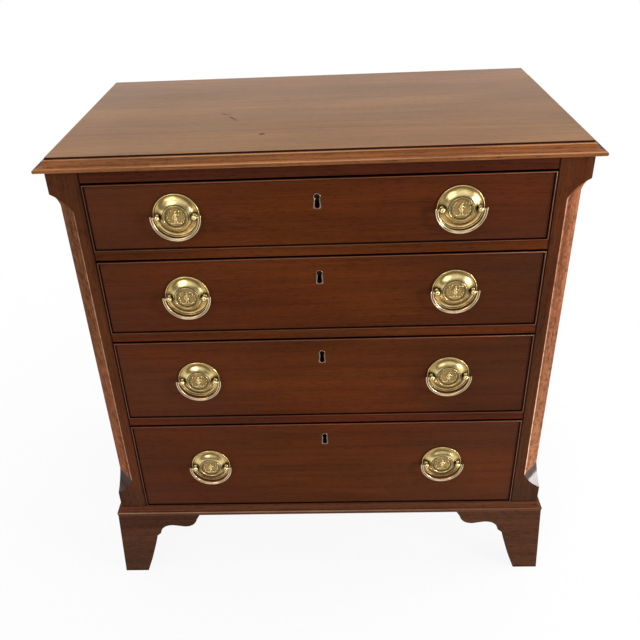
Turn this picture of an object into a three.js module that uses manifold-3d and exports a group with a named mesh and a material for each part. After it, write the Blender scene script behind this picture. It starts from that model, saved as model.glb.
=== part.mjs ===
// Bachelor's chest of drawers: four graduated long drawers in a carcass with canted front corners,
// a moulded top, splayed bracket feet and round handles with drop bails.
// Millimetres. +Z up, drawer fronts towards -Y, origin on the floor under the middle of the chest.

import * as THREE from 'three';
import { mergeVertices } from 'three/addons/utils/BufferGeometryUtils.js';
import Module from 'manifold-3d';

const wasm = await Module();
wasm.setup();

// Driving sizes of the carcass
const openingWidth = 670;
const openingHeights = [110, 133, 160, 195];
const dividerThickness = 14;
const topRailThickness = 19.5;
const topThickness = 18.5;
const carcassDepth = 416;
const postWidth = 47;
const postDepth = 45;
const sideThickness = 18;
const backThickness = 8;
const bottomThickness = 16;
const footHeight = 143.5;
const baseMouldingHeight = 17.5;

// Clearances
const gap = 0.25;
const runningGap = 0.3;
const guideClearance = 1.5;
const beadSideClearance = 1.2;
const beadTopClearance = 3;
const beadBottomClearance = 1;
const overrun = 5;

// Canted corner and its two curved stops
const cantWidth = 30;
const cantDepth = 33;
const cantBlockHeight = 35;
const cantStopLength = 30;
const cantStopBendShares = [0.34, 0.66];

// Joinery of the carcass
const tongueThickness = 8;
const tongueLength = 7;
const tenonLength = 12;
const tenonThickness = 8;
const tenonSetback = 10;
const tenonDepth = 24;
const railDepth = 62;
const dustBoardThickness = 10;
const housingDepth = 6;
const rebateWidth = 9;
const guideHeight = 20;
const guideRearGap = 12.5;
const kickerWidth = 64;
const rearRailDepth = 48;
const stopWidth = 40;
const stopLength = 30;
const stopHeight = 7;
const stopSpacing = 360;
const backBoardCount = 5;
const backGrooveWidth = 3;
const backGrooveDepth = 1.5;

// Mouldings: how far they stand out from the carcass, and the steps of their outlines
const topOverhang = 12.5;
const topFlatInset = 3.2;
const topQuirkDepth = 1.3;
const topNoseHeight = 6;
const topCoveFillet = 1.6;
const topMouldingBack = 14;
const baseBeadProjection = 8.4;
const baseBeadHeight = 4.6;
const baseFasciaProjection = 7.6;
const baseFasciaHeight = 4;
const baseLipThickness = 1.4;
const baseCoveRadius = 1.4;

// Bracket feet
const footWidth = 153;
const footSplay = 6.6;
const footBoardThickness = 20;
const glueBlockWidth = 34;

// Drawers
const frontThickness = 20;
const faceRecess = 0.5;
const beadThickness = 3;
const beadProud = 2.5;
const beadDepth = 11;
const drawerRearClearance = 30;
const drawerSideThickness = 10;
const drawerBackThickness = 10;
const sideDrop = 5;
const backDrop = 11;
const bottomPanelLevel = 12;
const bottomPanelThickness = 7;
const bottomGrooveDepth = 5;
const dovetailLength = 9;
const dovetailPitch = 38;
const dovetailFlare = 2;
const pinWidth = 9;

// Locks and keyholes
const lockWidth = 70;
const lockHeight = 46;
const lockDepth = 9;
const lockPlateThickness = 2;
const lockCaseInset = 5;
const boltWidth = 22;
const boltThickness = 3;
const boltLength = 19;
const boltTopGap = 0.2;
const boltMortiseDepth = 7.5;
const boltMortiseMargin = 1.5;
const keyDrop = 31;
const keyHeadRadius = 5.35;
const keyWaistHalfWidth = 4.6;
const keyFootHalfWidth = 5.8;
const keyFootDrop = 17.5;
const keyFootBulge = 4;
const keyWall = 1.3;
const keyLiningDepth = 5;
const keyLiningProud = 0.3;
const keyPinRadius = 1.4;

// Handles
const handleEndDistance = 131.3;
const handleRaiseShare = 0.015;
const plateRadius = 34;
const plateRimWidth = 2.4;
const plateRimHeight = 2.4;
const plateEdgeHeight = 1.3;
const medallionRadius = 17.7;
const medallionHeight = 9.2;
const medallionRingWidth = 1.8;
const medallionField = 1.6;
const domeFullnessShare = 0.92;
const pivotSpacing = 54;
const pivotStandoff = 10;
const ballRadius = 4.4;
const neckRadius = 2.8;
const collarRadius = 3.7;
const tipRadius = 1.3;
const shankRadius = 2.4;
const nutRadius = 6;
const nutThickness = 4;
const bailRadius = 34.8;
const bailWidth = 5;
const bailThickness = 3.6;
const pinRadius = 1.5;
const pinClearance = 0.3;
const pinReach = 2.4;
const earLength = 3.4;
const earShares = { lean: 0.33, tip: 0.7, notch: 0.6 };

// Counts of facets
const roundSides = 20;
const smallRoundSides = 8;
const domeSteps = 3;
const bailSteps = 12;
const bailSectionSteps = 3;
const beadSteps = 2;
const curveSteps = 4;
const fewestTails = 2;

// Levels of the carcass, counted from the floor
const carcassBase = footHeight + gap;
const floorLevel = carcassBase + baseMouldingHeight;
const openings = [];
let level = floorLevel;
for (let row = openingHeights.length - 1; row >= 0; row -= 1) {
  openings[row] = { bottom: level, height: openingHeights[row] };
  level += openingHeights[row] + dividerThickness;
}
const openingsTop = level - dividerThickness;
const carcassTop = openingsTop + topRailThickness;
const topBottom = carcassTop + gap;
const topSurface = topBottom + topThickness;

// Widths and depths of the carcass
const openingHalf = openingWidth / 2;
const carcassHalf = openingHalf + postWidth;
const handleOffset = openingHalf - handleEndDistance;
const sideInner = carcassHalf - sideThickness;
const backFront = carcassDepth - backThickness;
const interiorBack = backFront - gap;
const drawerDepth = backFront - drawerRearClearance;

// Depths of a drawer, counted from the carcass face
const frontBack = faceRecess + frontThickness;
const beadFront = faceRecess - beadProud;
const beadBack = beadFront + beadDepth;
const boltMiddle = frontBack - lockDepth / 2;

// Finishes
const mahogany = new THREE.MeshStandardMaterial({ color: 0x5a2a16, roughness: 0.35, metalness: 0 });
const topMahogany = new THREE.MeshStandardMaterial({ color: 0x9a7a5c, roughness: 0.25, metalness: 0 });
const beadMahogany = new THREE.MeshStandardMaterial({ color: 0x7a4228, roughness: 0.35, metalness: 0 });
const oak = new THREE.MeshStandardMaterial({ color: 0x9c7a4e, roughness: 0.7, metalness: 0 });
const pine = new THREE.MeshStandardMaterial({ color: 0x8a6840, roughness: 0.8, metalness: 0 });
const brass = new THREE.MeshStandardMaterial({ color: 0xb39a58, roughness: 0.3, metalness: 0.9 });
const steel = new THREE.MeshStandardMaterial({ color: 0x6c6a66, roughness: 0.5, metalness: 0.9 });

// Solids and booleans

function closedIndex(geometry) {
  const bare = geometry.clone();
  bare.deleteAttribute('normal');
  bare.deleteAttribute('uv');
  const merged = mergeVertices(bare);
  const source = merged.index.array;
  const index = [];
  for (let i = 0; i < source.length; i += 3) {
    const [a, b, c] = [source[i], source[i + 1], source[i + 2]];
    if (a !== b && b !== c && c !== a) index.push(a, b, c);
  }
  merged.setIndex(index);
  return merged;
}

function signedVolume(geometry) {
  const position = geometry.attributes.position;
  const index = geometry.index;
  const [a, b, c] = [new THREE.Vector3(), new THREE.Vector3(), new THREE.Vector3()];
  let volume = 0;
  for (let i = 0; i < index.count; i += 3) {
    a.fromBufferAttribute(position, index.getX(i));
    b.fromBufferAttribute(position, index.getX(i + 1));
    c.fromBufferAttribute(position, index.getX(i + 2));
    volume += a.dot(b.cross(c));
  }
  return volume;
}

function facingOut(geometry) {
  if (signedVolume(geometry) < 0) {
    const index = geometry.index.array;
    for (let i = 0; i < index.length; i += 3) {
      const first = index[i];
      index[i] = index[i + 1];
      index[i + 1] = first;
    }
  }
  return geometry;
}

function toSolid(geometry) {
  const closed = facingOut(closedIndex(geometry));
  const vertProperties = new Float32Array(closed.attributes.position.array);
  const triVerts = new Uint32Array(closed.index.array);
  return new wasm.Manifold(new wasm.Mesh({ numProp: 3, vertProperties, triVerts }));
}

function toGeometry(solid) {
  const mesh = solid.getMesh();
  const geometry = new THREE.BufferGeometry();
  geometry.setAttribute('position', new THREE.BufferAttribute(new Float32Array(mesh.vertProperties), 3));
  geometry.setIndex(new THREE.BufferAttribute(new Uint32Array(mesh.triVerts), 1));
  geometry.computeVertexNormals();
  return geometry;
}

function joined(solids) {
  return solids.reduce((sum, solid) => sum.add(solid));
}

function cut(solid, cutters) {
  return cutters.reduce((rest, cutter) => rest.subtract(cutter), solid);
}

// Moves each corner of a geometry by a rule of its own
function remapped(geometry, rule) {
  const position = geometry.attributes.position;
  for (let i = 0; i < position.count; i += 1) {
    const [x, y, z] = rule(position.getX(i), position.getY(i), position.getZ(i));
    position.setXYZ(i, x, y, z);
  }
  return geometry;
}

function blockGeometry([x0, x1], [y0, y1], [z0, z1]) {
  const pick = (share, low, high) => (share < 0 ? low : high);
  return remapped(new THREE.BoxGeometry(), (x, y, z) => [
    pick(x, x0, x1), pick(y, y0, y1), pick(z, z0, z1),
  ]);
}

function block(xs, ys, zs) {
  return toSolid(blockGeometry(xs, ys, zs));
}

function shapeOf(points) {
  return new THREE.Shape(points.map(([a, b]) => new THREE.Vector2(a, b)));
}

// Extrudes an outline along one axis; the outline is drawn in the other two, in the order x, y, z
function prismGeometry(shape, axis, from, to) {
  const geometry = new THREE.ExtrudeGeometry(shape, {
    depth: to - from, bevelEnabled: false, curveSegments: curveSteps,
  });
  const rules = {
    x: (a, b, c) => [from + c, a, b],
    y: (a, b, c) => [a, from + c, b],
    z: (a, b, c) => [a, b, from + c],
  };
  return remapped(geometry, rules[axis]);
}

function prism(shape, axis, from, to) {
  return toSolid(prismGeometry(shape, axis, from, to));
}

// Turns a profile of [radius, distance in front] points about an axis that runs along Y
function spun(profile, sides, x, z) {
  const geometry = new THREE.LatheGeometry(profile.map(([r, h]) => new THREE.Vector2(r, h)), sides);
  return toSolid(remapped(geometry, (a, b, c) => [x + a, -b, z + c]));
}

// Joins equal outlines, each a list of 3D points, into one skin with two flat ends or none
function lofted(sections, ends, isRing) {
  const count = sections[0].length;
  const index = [];
  const spans = isRing ? sections.length : sections.length - 1;
  for (let s = 0; s < spans; s += 1) {
    const here = s * count;
    const next = ((s + 1) % sections.length) * count;
    for (let i = 0; i < count; i += 1) {
      const j = (i + 1) % count;
      index.push(here + i, here + j, next + j, here + i, next + j, next + i);
    }
  }
  if (!isRing) {
    const last = (sections.length - 1) * count;
    for (const [a, b, c] of ends) index.push(c, b, a, last + a, last + b, last + c);
  }
  const geometry = new THREE.BufferGeometry();
  geometry.setAttribute('position', new THREE.Float32BufferAttribute(sections.flat(2), 3));
  geometry.setIndex(index);
  return toSolid(geometry);
}

// Runs a moulding round the front and both ends with mitred corners; its outline is [out, height]
function mitredRun(outline) {
  const corners = [
    ([out, z]) => [-carcassHalf - out, carcassDepth, z],
    ([out, z]) => [-carcassHalf - out, -out, z],
    ([out, z]) => [carcassHalf + out, -out, z],
    ([out, z]) => [carcassHalf + out, carcassDepth, z],
  ];
  const flat = outline.map(([a, b]) => new THREE.Vector2(a, b));
  const ends = THREE.ShapeUtils.triangulateShape(flat, []);
  const turned = THREE.ShapeUtils.isClockWise(flat) ? ends.map(([a, b, c]) => [c, b, a]) : ends;
  return lofted(corners.map((corner) => outline.map(corner)), turned, false);
}

function mirroredGeometry(geometry) {
  return facingOut(remapped(geometry.clone(), (x, y, z) => [-x, y, z]));
}

// Points along a quadratic bend between two points of an outline, without its start
function bend(start, control, end, steps) {
  const curve = new THREE.QuadraticBezierCurve(
    new THREE.Vector2(...start), new THREE.Vector2(...control), new THREE.Vector2(...end),
  );
  return curve.getPoints(steps).slice(1).map((point) => [point.x, point.y]);
}

function namedMesh(name, geometry, material) {
  const mesh = new THREE.Mesh(geometry, material);
  mesh.name = name;
  return mesh;
}

// Top board: one board with a quirk, a cove and a rounded nose worked on three edges

function topBoard() {
  const noseTop = topBottom + topNoseHeight;
  const filletTop = noseTop + topCoveFillet;
  const quirk = topSurface - topQuirkDepth;
  const noseMiddle = topBottom + topNoseHeight / 2;
  const noseStart = topOverhang - topNoseHeight / 2;
  const coveEnd = noseStart - topCoveFillet / 2;
  const outline = [
    [-topMouldingBack, topBottom],
    [-topMouldingBack, topSurface],
    [-topFlatInset, topSurface],
    [-topFlatInset, quirk],
    ...bend([-topFlatInset, quirk], [0, filletTop], [coveEnd, filletTop], curveSteps),
    [coveEnd, noseTop],
    [noseStart, noseTop],
    ...bend([noseStart, noseTop], [topOverhang, noseTop], [topOverhang, noseMiddle], curveSteps),
    ...bend([topOverhang, noseMiddle], [topOverhang, topBottom], [noseStart, topBottom], curveSteps),
  ];
  const slabHalf = carcassHalf - topMouldingBack / 2;
  const slab = block([-slabHalf, slabHalf], [topMouldingBack / 2, carcassDepth], [topBottom, topSurface]);
  return namedMesh('top_board', toGeometry(mitredRun(outline).add(slab)), topMahogany);
}

// Base moulding: a lip, a cove, a bead and a fascia, planted round the foot of the carcass

function baseMoulding() {
  const fasciaTop = carcassBase + baseFasciaHeight;
  const beadTop = fasciaTop + baseBeadHeight;
  const beadMiddle = fasciaTop + baseBeadHeight / 2;
  const lipBottom = floorLevel - baseLipThickness;
  const beadFace = baseBeadProjection;
  const beadStart = beadFace - baseBeadHeight / 2;
  const outline = [
    [gap, carcassBase],
    [gap, floorLevel],
    [baseLipThickness, floorLevel],
    [baseLipThickness, lipBottom],
    ...bend(
      [baseLipThickness, lipBottom], [baseLipThickness + baseCoveRadius, beadTop], [beadStart, beadTop],
      curveSteps,
    ),
    ...bend([beadStart, beadTop], [beadFace, beadTop], [beadFace, beadMiddle], curveSteps),
    ...bend([beadFace, beadMiddle], [beadFace, fasciaTop], [beadStart, fasciaTop], curveSteps),
    [baseFasciaProjection, fasciaTop - gap],
    [baseFasciaProjection, carcassBase],
  ];
  return namedMesh('base_moulding', toGeometry(mitredRun(outline)), mahogany);
}

// Cutter for the cant: its outline is drawn in depth from the corner and height, and it is run
// along the face of the cant

function cantCutter() {
  const across = Math.hypot(cantWidth, cantDepth);
  const depth = (cantWidth * cantDepth) / across;
  const [bendRise, bendDepth] = cantStopBendShares;
  const upper = carcassTop - cantBlockHeight;
  const lower = floorLevel + cantBlockHeight;
  const outline = [
    [-overrun, upper],
    [0, upper],
    ...bend([0, upper], [depth * bendDepth, upper - cantStopLength * bendRise],
      [depth, upper - cantStopLength], curveSteps),
    [depth, lower + cantStopLength],
    ...bend([depth, lower + cantStopLength], [depth * bendDepth, lower + cantStopLength * bendRise],
      [0, lower], curveSteps),
    [-overrun, lower],
  ];
  const inward = [-cantDepth / across, cantWidth / across];
  const along = [cantWidth / across, cantDepth / across];
  const geometry = prismGeometry(shapeOf(outline), 'z', -across, across);
  return toSolid(remapped(geometry, (d, z, t) => [
    carcassHalf + inward[0] * d + along[0] * t,
    inward[1] * d + along[1] * t,
    z,
  ]));
}

// Mortises that the rails' tenons enter, in the right-hand post

function tenonLevels() {
  const rails = openings.slice(1).map((opening) => opening.bottom + opening.height + dividerThickness / 2);
  return [...rails, carcassTop - topRailThickness / 2];
}

function cornerPosts() {
  const grooveHalf = tongueThickness / 2 + gap;
  const grooveMiddle = carcassHalf - sideThickness / 2;
  const outline = shapeOf([
    [openingHalf, 0],
    [carcassHalf, 0],
    [carcassHalf, postDepth],
    [grooveMiddle + grooveHalf, postDepth],
    [grooveMiddle + grooveHalf, postDepth - tongueLength - gap],
    [grooveMiddle - grooveHalf, postDepth - tongueLength - gap],
    [grooveMiddle - grooveHalf, postDepth],
    [openingHalf, postDepth],
  ]);
  const mortises = tenonLevels().map((z) => block(
    [openingHalf - overrun, openingHalf + tenonLength + gap],
    [tenonSetback - gap, tenonSetback + tenonDepth + gap],
    [z - tenonThickness / 2 - gap, z + tenonThickness / 2 + gap],
  ));
  const right = toGeometry(cut(prism(outline, 'z', carcassBase, carcassTop), [cantCutter(), ...mortises]));
  return [
    namedMesh('corner_post_right', right, mahogany),
    namedMesh('corner_post_left', mirroredGeometry(right), mahogany),
  ];
}

// Side panels: tongued into the posts, housed for the dust boards and rebated for the back

function sidePanels() {
  const tongueHalf = tongueThickness / 2;
  const tongueMiddle = carcassHalf - sideThickness / 2;
  const front = postDepth + gap;
  const outline = shapeOf([
    [sideInner, front],
    [tongueMiddle - tongueHalf, front],
    [tongueMiddle - tongueHalf, postDepth - tongueLength],
    [tongueMiddle + tongueHalf, postDepth - tongueLength],
    [tongueMiddle + tongueHalf, front],
    [carcassHalf, front],
    [carcassHalf, carcassDepth],
    [sideInner + rebateWidth, carcassDepth],
    [sideInner + rebateWidth, backFront],
    [sideInner, backFront],
  ]);
  const boards = openings.slice(1).map((opening) => {
    const top = opening.bottom + opening.height + dividerThickness;
    return [top - dustBoardThickness - gap, top + gap];
  });
  boards.push([floorLevel - bottomThickness - gap, floorLevel + gap]);
  const housings = boards.map((zs) => block(
    [sideInner - overrun, sideInner + housingDepth], [postDepth, backFront + gap], zs,
  ));
  const right = toGeometry(cut(prism(outline, 'z', carcassBase, carcassTop), housings));
  return [
    namedMesh('side_panel_right', right, mahogany),
    namedMesh('side_panel_left', mirroredGeometry(right), mahogany),
  ];
}

// Runner board behind a rail, with the guide strips beside the drawer and the stops behind its front

function boardWithGuides(top, thickness) {
  const boardHalf = sideInner + housingDepth - gap;
  const boardFront = postDepth + gap;
  const guides = [-1, 1].map((side) => {
    const [inner, outer] = [side * openingHalf, side * (sideInner - gap)];
    return block([Math.min(inner, outer), Math.max(inner, outer)],
      [boardFront, interiorBack - guideRearGap], [top - gap, top + guideHeight]);
  });
  const stops = [-1, 1].map((side) => {
    const middle = (side * stopSpacing) / 2;
    return block([middle - stopWidth / 2, middle + stopWidth / 2],
      [frontBack + runningGap, frontBack + runningGap + stopLength], [top - gap, top + stopHeight]);
  });
  const board = block([-boardHalf, boardHalf], [boardFront, interiorBack], [top - thickness, top]);
  return joined([board, ...guides, ...stops]);
}

function railWithTenons(bottom, thickness) {
  const railHalf = openingHalf - gap;
  const middle = bottom + thickness / 2;
  const rail = block([-railHalf, railHalf], [0, railDepth], [bottom, bottom + thickness]);
  const tenons = block([-openingHalf - tenonLength, openingHalf + tenonLength],
    [tenonSetback, tenonSetback + tenonDepth], [middle - tenonThickness / 2, middle + tenonThickness / 2]);
  return rail.add(tenons);
}

function boltMortise(bottom) {
  const halfWidth = boltWidth / 2 + boltMortiseMargin;
  const halfDepth = boltThickness / 2 + boltMortiseMargin;
  return block([-halfWidth, halfWidth], [boltMiddle - halfDepth, boltMiddle + halfDepth],
    [bottom - overrun, bottom + boltMortiseDepth]);
}

function dividers() {
  return openings.slice(1).map((opening, i) => {
    const bottom = opening.bottom + opening.height;
    const rail = railWithTenons(bottom, dividerThickness);
    const board = boardWithGuides(bottom + dividerThickness, dustBoardThickness);
    const solid = rail.add(board).subtract(boltMortise(bottom));
    return namedMesh(`divider_${i + 1}`, toGeometry(solid), mahogany);
  });
}

function topRail() {
  const kickerInner = sideInner - kickerWidth;
  const kickers = [-1, 1].map((side) => {
    const [inner, outer] = [side * kickerInner, side * (sideInner - gap)];
    return block([Math.min(inner, outer), Math.max(inner, outer)], [postDepth + gap, interiorBack],
      [openingsTop, carcassTop]);
  });
  const rear = block([-sideInner + gap, sideInner - gap], [interiorBack - rearRailDepth, interiorBack],
    [openingsTop, carcassTop]);
  const frame = joined([railWithTenons(openingsTop, topRailThickness), ...kickers, rear]);
  return namedMesh('top_rail', toGeometry(frame.subtract(boltMortise(openingsTop))), mahogany);
}

function bottomBoard() {
  const railHalf = openingHalf - gap;
  const front = block([-railHalf, railHalf], [0, railDepth], [floorLevel - bottomThickness, floorLevel]);
  const solid = front.add(boardWithGuides(floorLevel, bottomThickness));
  return namedMesh('bottom_board', toGeometry(solid), pine);
}

// Back: level boards with a vee at each joint, in the rebates of the sides

function backPanel() {
  const boardHeight = (carcassTop - carcassBase) / backBoardCount;
  const rear = carcassDepth;
  const outline = [[backFront, carcassBase], [rear, carcassBase]];
  for (let i = 1; i < backBoardCount; i += 1) {
    const joint = carcassBase + i * boardHeight;
    outline.push([rear, joint - backGrooveWidth / 2]);
    outline.push([rear - backGrooveDepth, joint]);
    outline.push([rear, joint + backGrooveWidth / 2]);
  }
  outline.push([rear, carcassTop], [backFront, carcassTop]);
  const half = sideInner + rebateWidth - gap;
  return namedMesh('back_panel', toGeometry(prism(shapeOf(outline), 'x', -half, half)), pine);
}

// Bracket foot: two shaped boards mitred at the corner, leaning outwards to the floor, and a glue
// block behind them. The outline runs from the corner along the board, in shares of the foot's
// width and height.

const footShares = {
  toe: [0.245, 0],
  ankle: [0.31, 0.13],
  shinBend: [0.385, 0.37],
  shin: [0.425, 0.63],
  shelf: [0.475, 0.675],
  coveBend: [0.51, 0.83],
  coveEnd: [0.66, 0.825],
  swell: [0.8, 0.8],
  swellBend: [0.925, 0.8],
  tipBend: [0.955, 0.92],
  tip: [1, 1],
};

function footOutline() {
  const at = (key) => [footShares[key][0] * footWidth, footShares[key][1] * footHeight];
  return [
    [0, footHeight],
    [0, 0],
    at('toe'),
    at('ankle'),
    ...bend(at('ankle'), at('shinBend'), at('shin'), curveSteps),
    at('shelf'),
    ...bend(at('shelf'), at('coveBend'), at('coveEnd'), curveSteps),
    at('swell'),
    ...bend(at('swell'), at('swellBend'), at('tipBend'), curveSteps),
    at('tip'),
  ];
}

// A leaning face stands under the moulding at the top and moves out by the splay at the floor
function leaning(z) {
  return -baseFasciaProjection - footSplay * (1 - z / footHeight);
}

function upright() {
  return 0;
}

function plainOutline() {
  const width = footWidth * footShares.shin[0];
  return [[0, footHeight], [0, 0], [width, 0], [width, footHeight]];
}

// One board of a foot: its outline starts at the corner, which follows cornerAt, and its outer
// face follows faceAt; place turns distances along and across the board into a point
function footBoard(outline, cornerAt, faceAt, place) {
  const board = prismGeometry(shapeOf(outline), 'y', 0, footBoardThickness);
  const top = cornerAt(footHeight);
  return toSolid(remapped(board, (along, across, z) => place(
    along === 0 ? cornerAt(z) : along + top, faceAt(z) + across, z,
  )));
}

function bracketFoot(name, side, isRear) {
  const place = (inX, inY, z) => [side * (carcassHalf - inX), isRear ? carcassDepth - inY : inY, z];
  const turned = (along, across, z) => place(across, along, z);
  const sideBoard = footBoard(footOutline(), isRear ? upright : leaning, leaning, turned);
  const faceBoard = isRear
    ? footBoard(plainOutline(), leaning, upright, place)
    : footBoard(footOutline(), leaning, leaning, place);
  const blockStart = footBoardThickness + leaning(0);
  const near = place(blockStart, blockStart, 0);
  const far = place(blockStart + glueBlockWidth, blockStart + glueBlockWidth, footHeight);
  const spans = near.map((value, axis) => [Math.min(value, far[axis]), Math.max(value, far[axis])]);
  return namedMesh(name, toGeometry(joined([sideBoard, faceBoard, block(...spans)])), mahogany);
}

// Drawers. Heights inside a drawer count from the bottom of its opening.

// Outline of the keyhole: round head above a flared foot, drawn in by inset
function keyholeShape(inset, headLevel) {
  const head = keyHeadRadius - inset;
  const waist = keyWaistHalfWidth - inset;
  const foot = keyFootHalfWidth - inset;
  const drop = keyFootDrop - inset;
  const turn = Math.acos(waist / head);
  const shape = new THREE.Shape();
  shape.absarc(0, headLevel, head, -turn, Math.PI + turn, false);
  shape.lineTo(-foot, headLevel - drop);
  shape.quadraticCurveTo(0, headLevel - drop - keyFootBulge, foot, headLevel - drop);
  shape.closePath();
  return shape;
}

// The handles stand a little above the middle of their drawer
function handleLevel(height) {
  return height / 2 + height * handleRaiseShare;
}

// Places across the drawer where the two posts of each handle pass through its front
function postPlaces() {
  const places = [];
  for (const side of [-1, 1]) {
    for (const end of [-1, 1]) places.push(side * handleOffset + (end * pivotSpacing) / 2);
  }
  return places;
}

// Outline of a drawer side in depth and height, with dovetails on its front end
function sideOutline(bottom, top, grow) {
  const tails = Math.max(fewestTails, Math.round((top - bottom) / dovetailPitch));
  const pitch = (top - bottom) / tails;
  const tip = frontBack - dovetailLength - grow;
  const outline = [[drawerDepth, bottom], [drawerDepth, top], [frontBack, top]];
  for (let i = tails - 1; i >= 0; i -= 1) {
    const low = bottom + i * pitch + pinWidth / 2 - grow;
    const high = bottom + (i + 1) * pitch - pinWidth / 2 + grow;
    outline.push([frontBack, high - dovetailFlare], [tip, high]);
    outline.push([tip, low], [frontBack, low + dovetailFlare]);
  }
  outline.push([frontBack, bottom]);
  return shapeOf(outline);
}

const boxHalf = openingHalf - guideClearance;
const boxInner = boxHalf - drawerSideThickness;
const beadHalf = openingHalf - beadSideClearance;
const panelHalf = boxInner + bottomGrooveDepth;
const panelFront = frontBack - bottomGrooveDepth;

function bottomGroove() {
  return block([-panelHalf - gap, panelHalf + gap], [panelFront - gap, drawerDepth + overrun],
    [bottomPanelLevel - gap, bottomPanelLevel + bottomPanelThickness + gap]);
}

function drawerFront(height) {
  const top = height - beadTopClearance;
  const bottom = beadBottomClearance;
  const sideTop = top - sideDrop;
  const inset = beadThickness + gap;
  const faceHalf = beadHalf - inset;
  const face = block([-faceHalf, faceHalf], [faceRecess, frontBack], [bottom + inset, top - inset]);
  const rear = block([-beadHalf, beadHalf], [beadBack + gap, frontBack], [bottom, top]);
  const past = frontBack + overrun;
  const ends = [[-beadHalf - overrun, -boxInner + gap], [boxInner - gap, beadHalf + overrun]];
  const sockets = ends.map((xs) => prism(sideOutline(runningGap, sideTop, gap), 'x', ...xs));
  const holeRadius = shankRadius + gap;
  const holes = postPlaces().map((x) => spun(
    [[0, -past], [holeRadius, -past], [holeRadius, overrun], [0, overrun]],
    smallRoundSides, x, handleLevel(height),
  ));
  const pocketHalf = lockWidth / 2 + gap;
  const pocketFront = frontBack - lockDepth - gap;
  const lockPocket = block([-pocketHalf, pocketHalf], [pocketFront, past],
    [top - lockHeight - gap, top + overrun]);
  const keyhole = prism(keyholeShape(-gap, height - keyDrop), 'y', -overrun, frontBack);
  return cut(face.add(rear), [...sockets, ...holes, lockPocket, keyhole, bottomGroove()]);
}

// Cock bead: four strips with a rounded front edge, mitred round the drawer front
function cockBead(height) {
  const round = beadThickness / 2;
  const outline = [
    [0, beadBack],
    [0, beadFront + round],
    ...bend([0, beadFront + round], [0, beadFront], [round, beadFront], beadSteps),
    ...bend([round, beadFront], [beadThickness, beadFront], [beadThickness, beadFront + round], beadSteps),
    [beadThickness, beadBack],
  ];
  const top = height - beadTopClearance;
  const corners = [
    ([inset, y]) => [-beadHalf + inset, y, beadBottomClearance + inset],
    ([inset, y]) => [beadHalf - inset, y, beadBottomClearance + inset],
    ([inset, y]) => [beadHalf - inset, y, top - inset],
    ([inset, y]) => [-beadHalf + inset, y, top - inset],
  ];
  return lofted(corners.map((corner) => outline.map(corner)), [], true);
}

function drawerBox(height) {
  const sideTop = height - beadTopClearance - sideDrop;
  const sides = [[-boxHalf, -boxInner], [boxInner, boxHalf]].map((xs) => (
    prism(sideOutline(runningGap, sideTop, 0), 'x', ...xs)
  ));
  const panelTop = bottomPanelLevel + bottomPanelThickness + gap;
  const back = block([-boxInner - gap, boxInner + gap], [drawerDepth - drawerBackThickness, drawerDepth],
    [panelTop, sideTop - backDrop]);
  return cut(joined(sides), [bottomGroove()]).add(back);
}

function bottomPanel() {
  return block([-panelHalf, panelHalf], [panelFront, drawerDepth],
    [bottomPanelLevel, bottomPanelLevel + bottomPanelThickness]);
}

function escutcheon(height) {
  const front = faceRecess - keyLiningProud;
  const level = height - keyDrop;
  const lining = prism(keyholeShape(0, level), 'y', front, front + keyLiningDepth);
  return lining.subtract(prism(keyholeShape(keyWall, level), 'y', -overrun, frontBack));
}

// Till lock: back plate, case and top plate, with the slot that the bolt rises through, the keyhole
// and the pin that the hollow key turns on
function tillLock(height) {
  const top = height - beadTopClearance;
  const keyLevel = height - keyDrop;
  const caseFront = frontBack - lockDepth;
  const plateHalf = lockWidth / 2;
  const caseHalf = plateHalf - lockCaseInset;
  const plateFront = frontBack - lockPlateThickness;
  const plate = block([-plateHalf, plateHalf], [plateFront, frontBack], [top - lockHeight, top]);
  const topPlate = block([-plateHalf, plateHalf], [caseFront, frontBack], [top - lockPlateThickness, top]);
  const caseBottom = top - lockHeight + lockCaseInset;
  const lockCase = block([-caseHalf, caseHalf], [caseFront, frontBack], [caseBottom, top]);
  const slotHalfWidth = boltWidth / 2 + gap;
  const slotHalfDepth = boltThickness / 2 + gap;
  const slot = block([-slotHalfWidth, slotHalfWidth],
    [boltMiddle - slotHalfDepth, boltMiddle + slotHalfDepth], [keyLevel - keyFootDrop, top + overrun]);
  const keyhole = prism(keyholeShape(keyWall, keyLevel), 'y', caseFront - overrun, boltMiddle);
  const pinRoot = -frontBack + lockPlateThickness / 2;
  const pin = spun(
    [[0, pinRoot], [keyPinRadius, pinRoot], [keyPinRadius, -caseFront - gap], [0, -caseFront]],
    smallRoundSides, 0, keyLevel,
  );
  return cut(joined([plate, topPlate, lockCase]), [slot, keyhole]).add(pin);
}

function lockBolt(height) {
  const top = height - beadTopClearance - boltTopGap;
  const halfWidth = boltWidth / 2;
  const halfDepth = boltThickness / 2;
  return block([-halfWidth, halfWidth], [boltMiddle - halfDepth, boltMiddle + halfDepth],
    [top - boltLength, top]);
}

// Handles. A plate's own middle is its place; distances in front count from the drawer face.

function pivotPlane() {
  return faceRecess - pivotStandoff;
}

function rosette() {
  const innerRing = medallionRadius - medallionRingWidth;
  const rimInner = plateRadius - plateRimWidth;
  const surface = -faceRecess + gap / 2;
  const slope = bend(
    [rimInner, plateEdgeHeight], [(rimInner + medallionRadius) / 2, medallionHeight * domeFullnessShare],
    [medallionRadius + medallionRingWidth, medallionHeight - medallionField / 2], domeSteps,
  );
  const profile = [
    [0, 0],
    [plateRadius, 0],
    [plateRadius, plateRimHeight / 2],
    [plateRadius - plateRimWidth / 2, plateRimHeight],
    [rimInner, plateEdgeHeight],
    ...slope,
    [medallionRadius, medallionHeight],
    [innerRing, medallionHeight - medallionField],
    [0, medallionHeight - medallionField],
  ];
  return spun(profile.map(([r, h]) => [r, h + surface]), roundSides, 0, 0);
}

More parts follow.
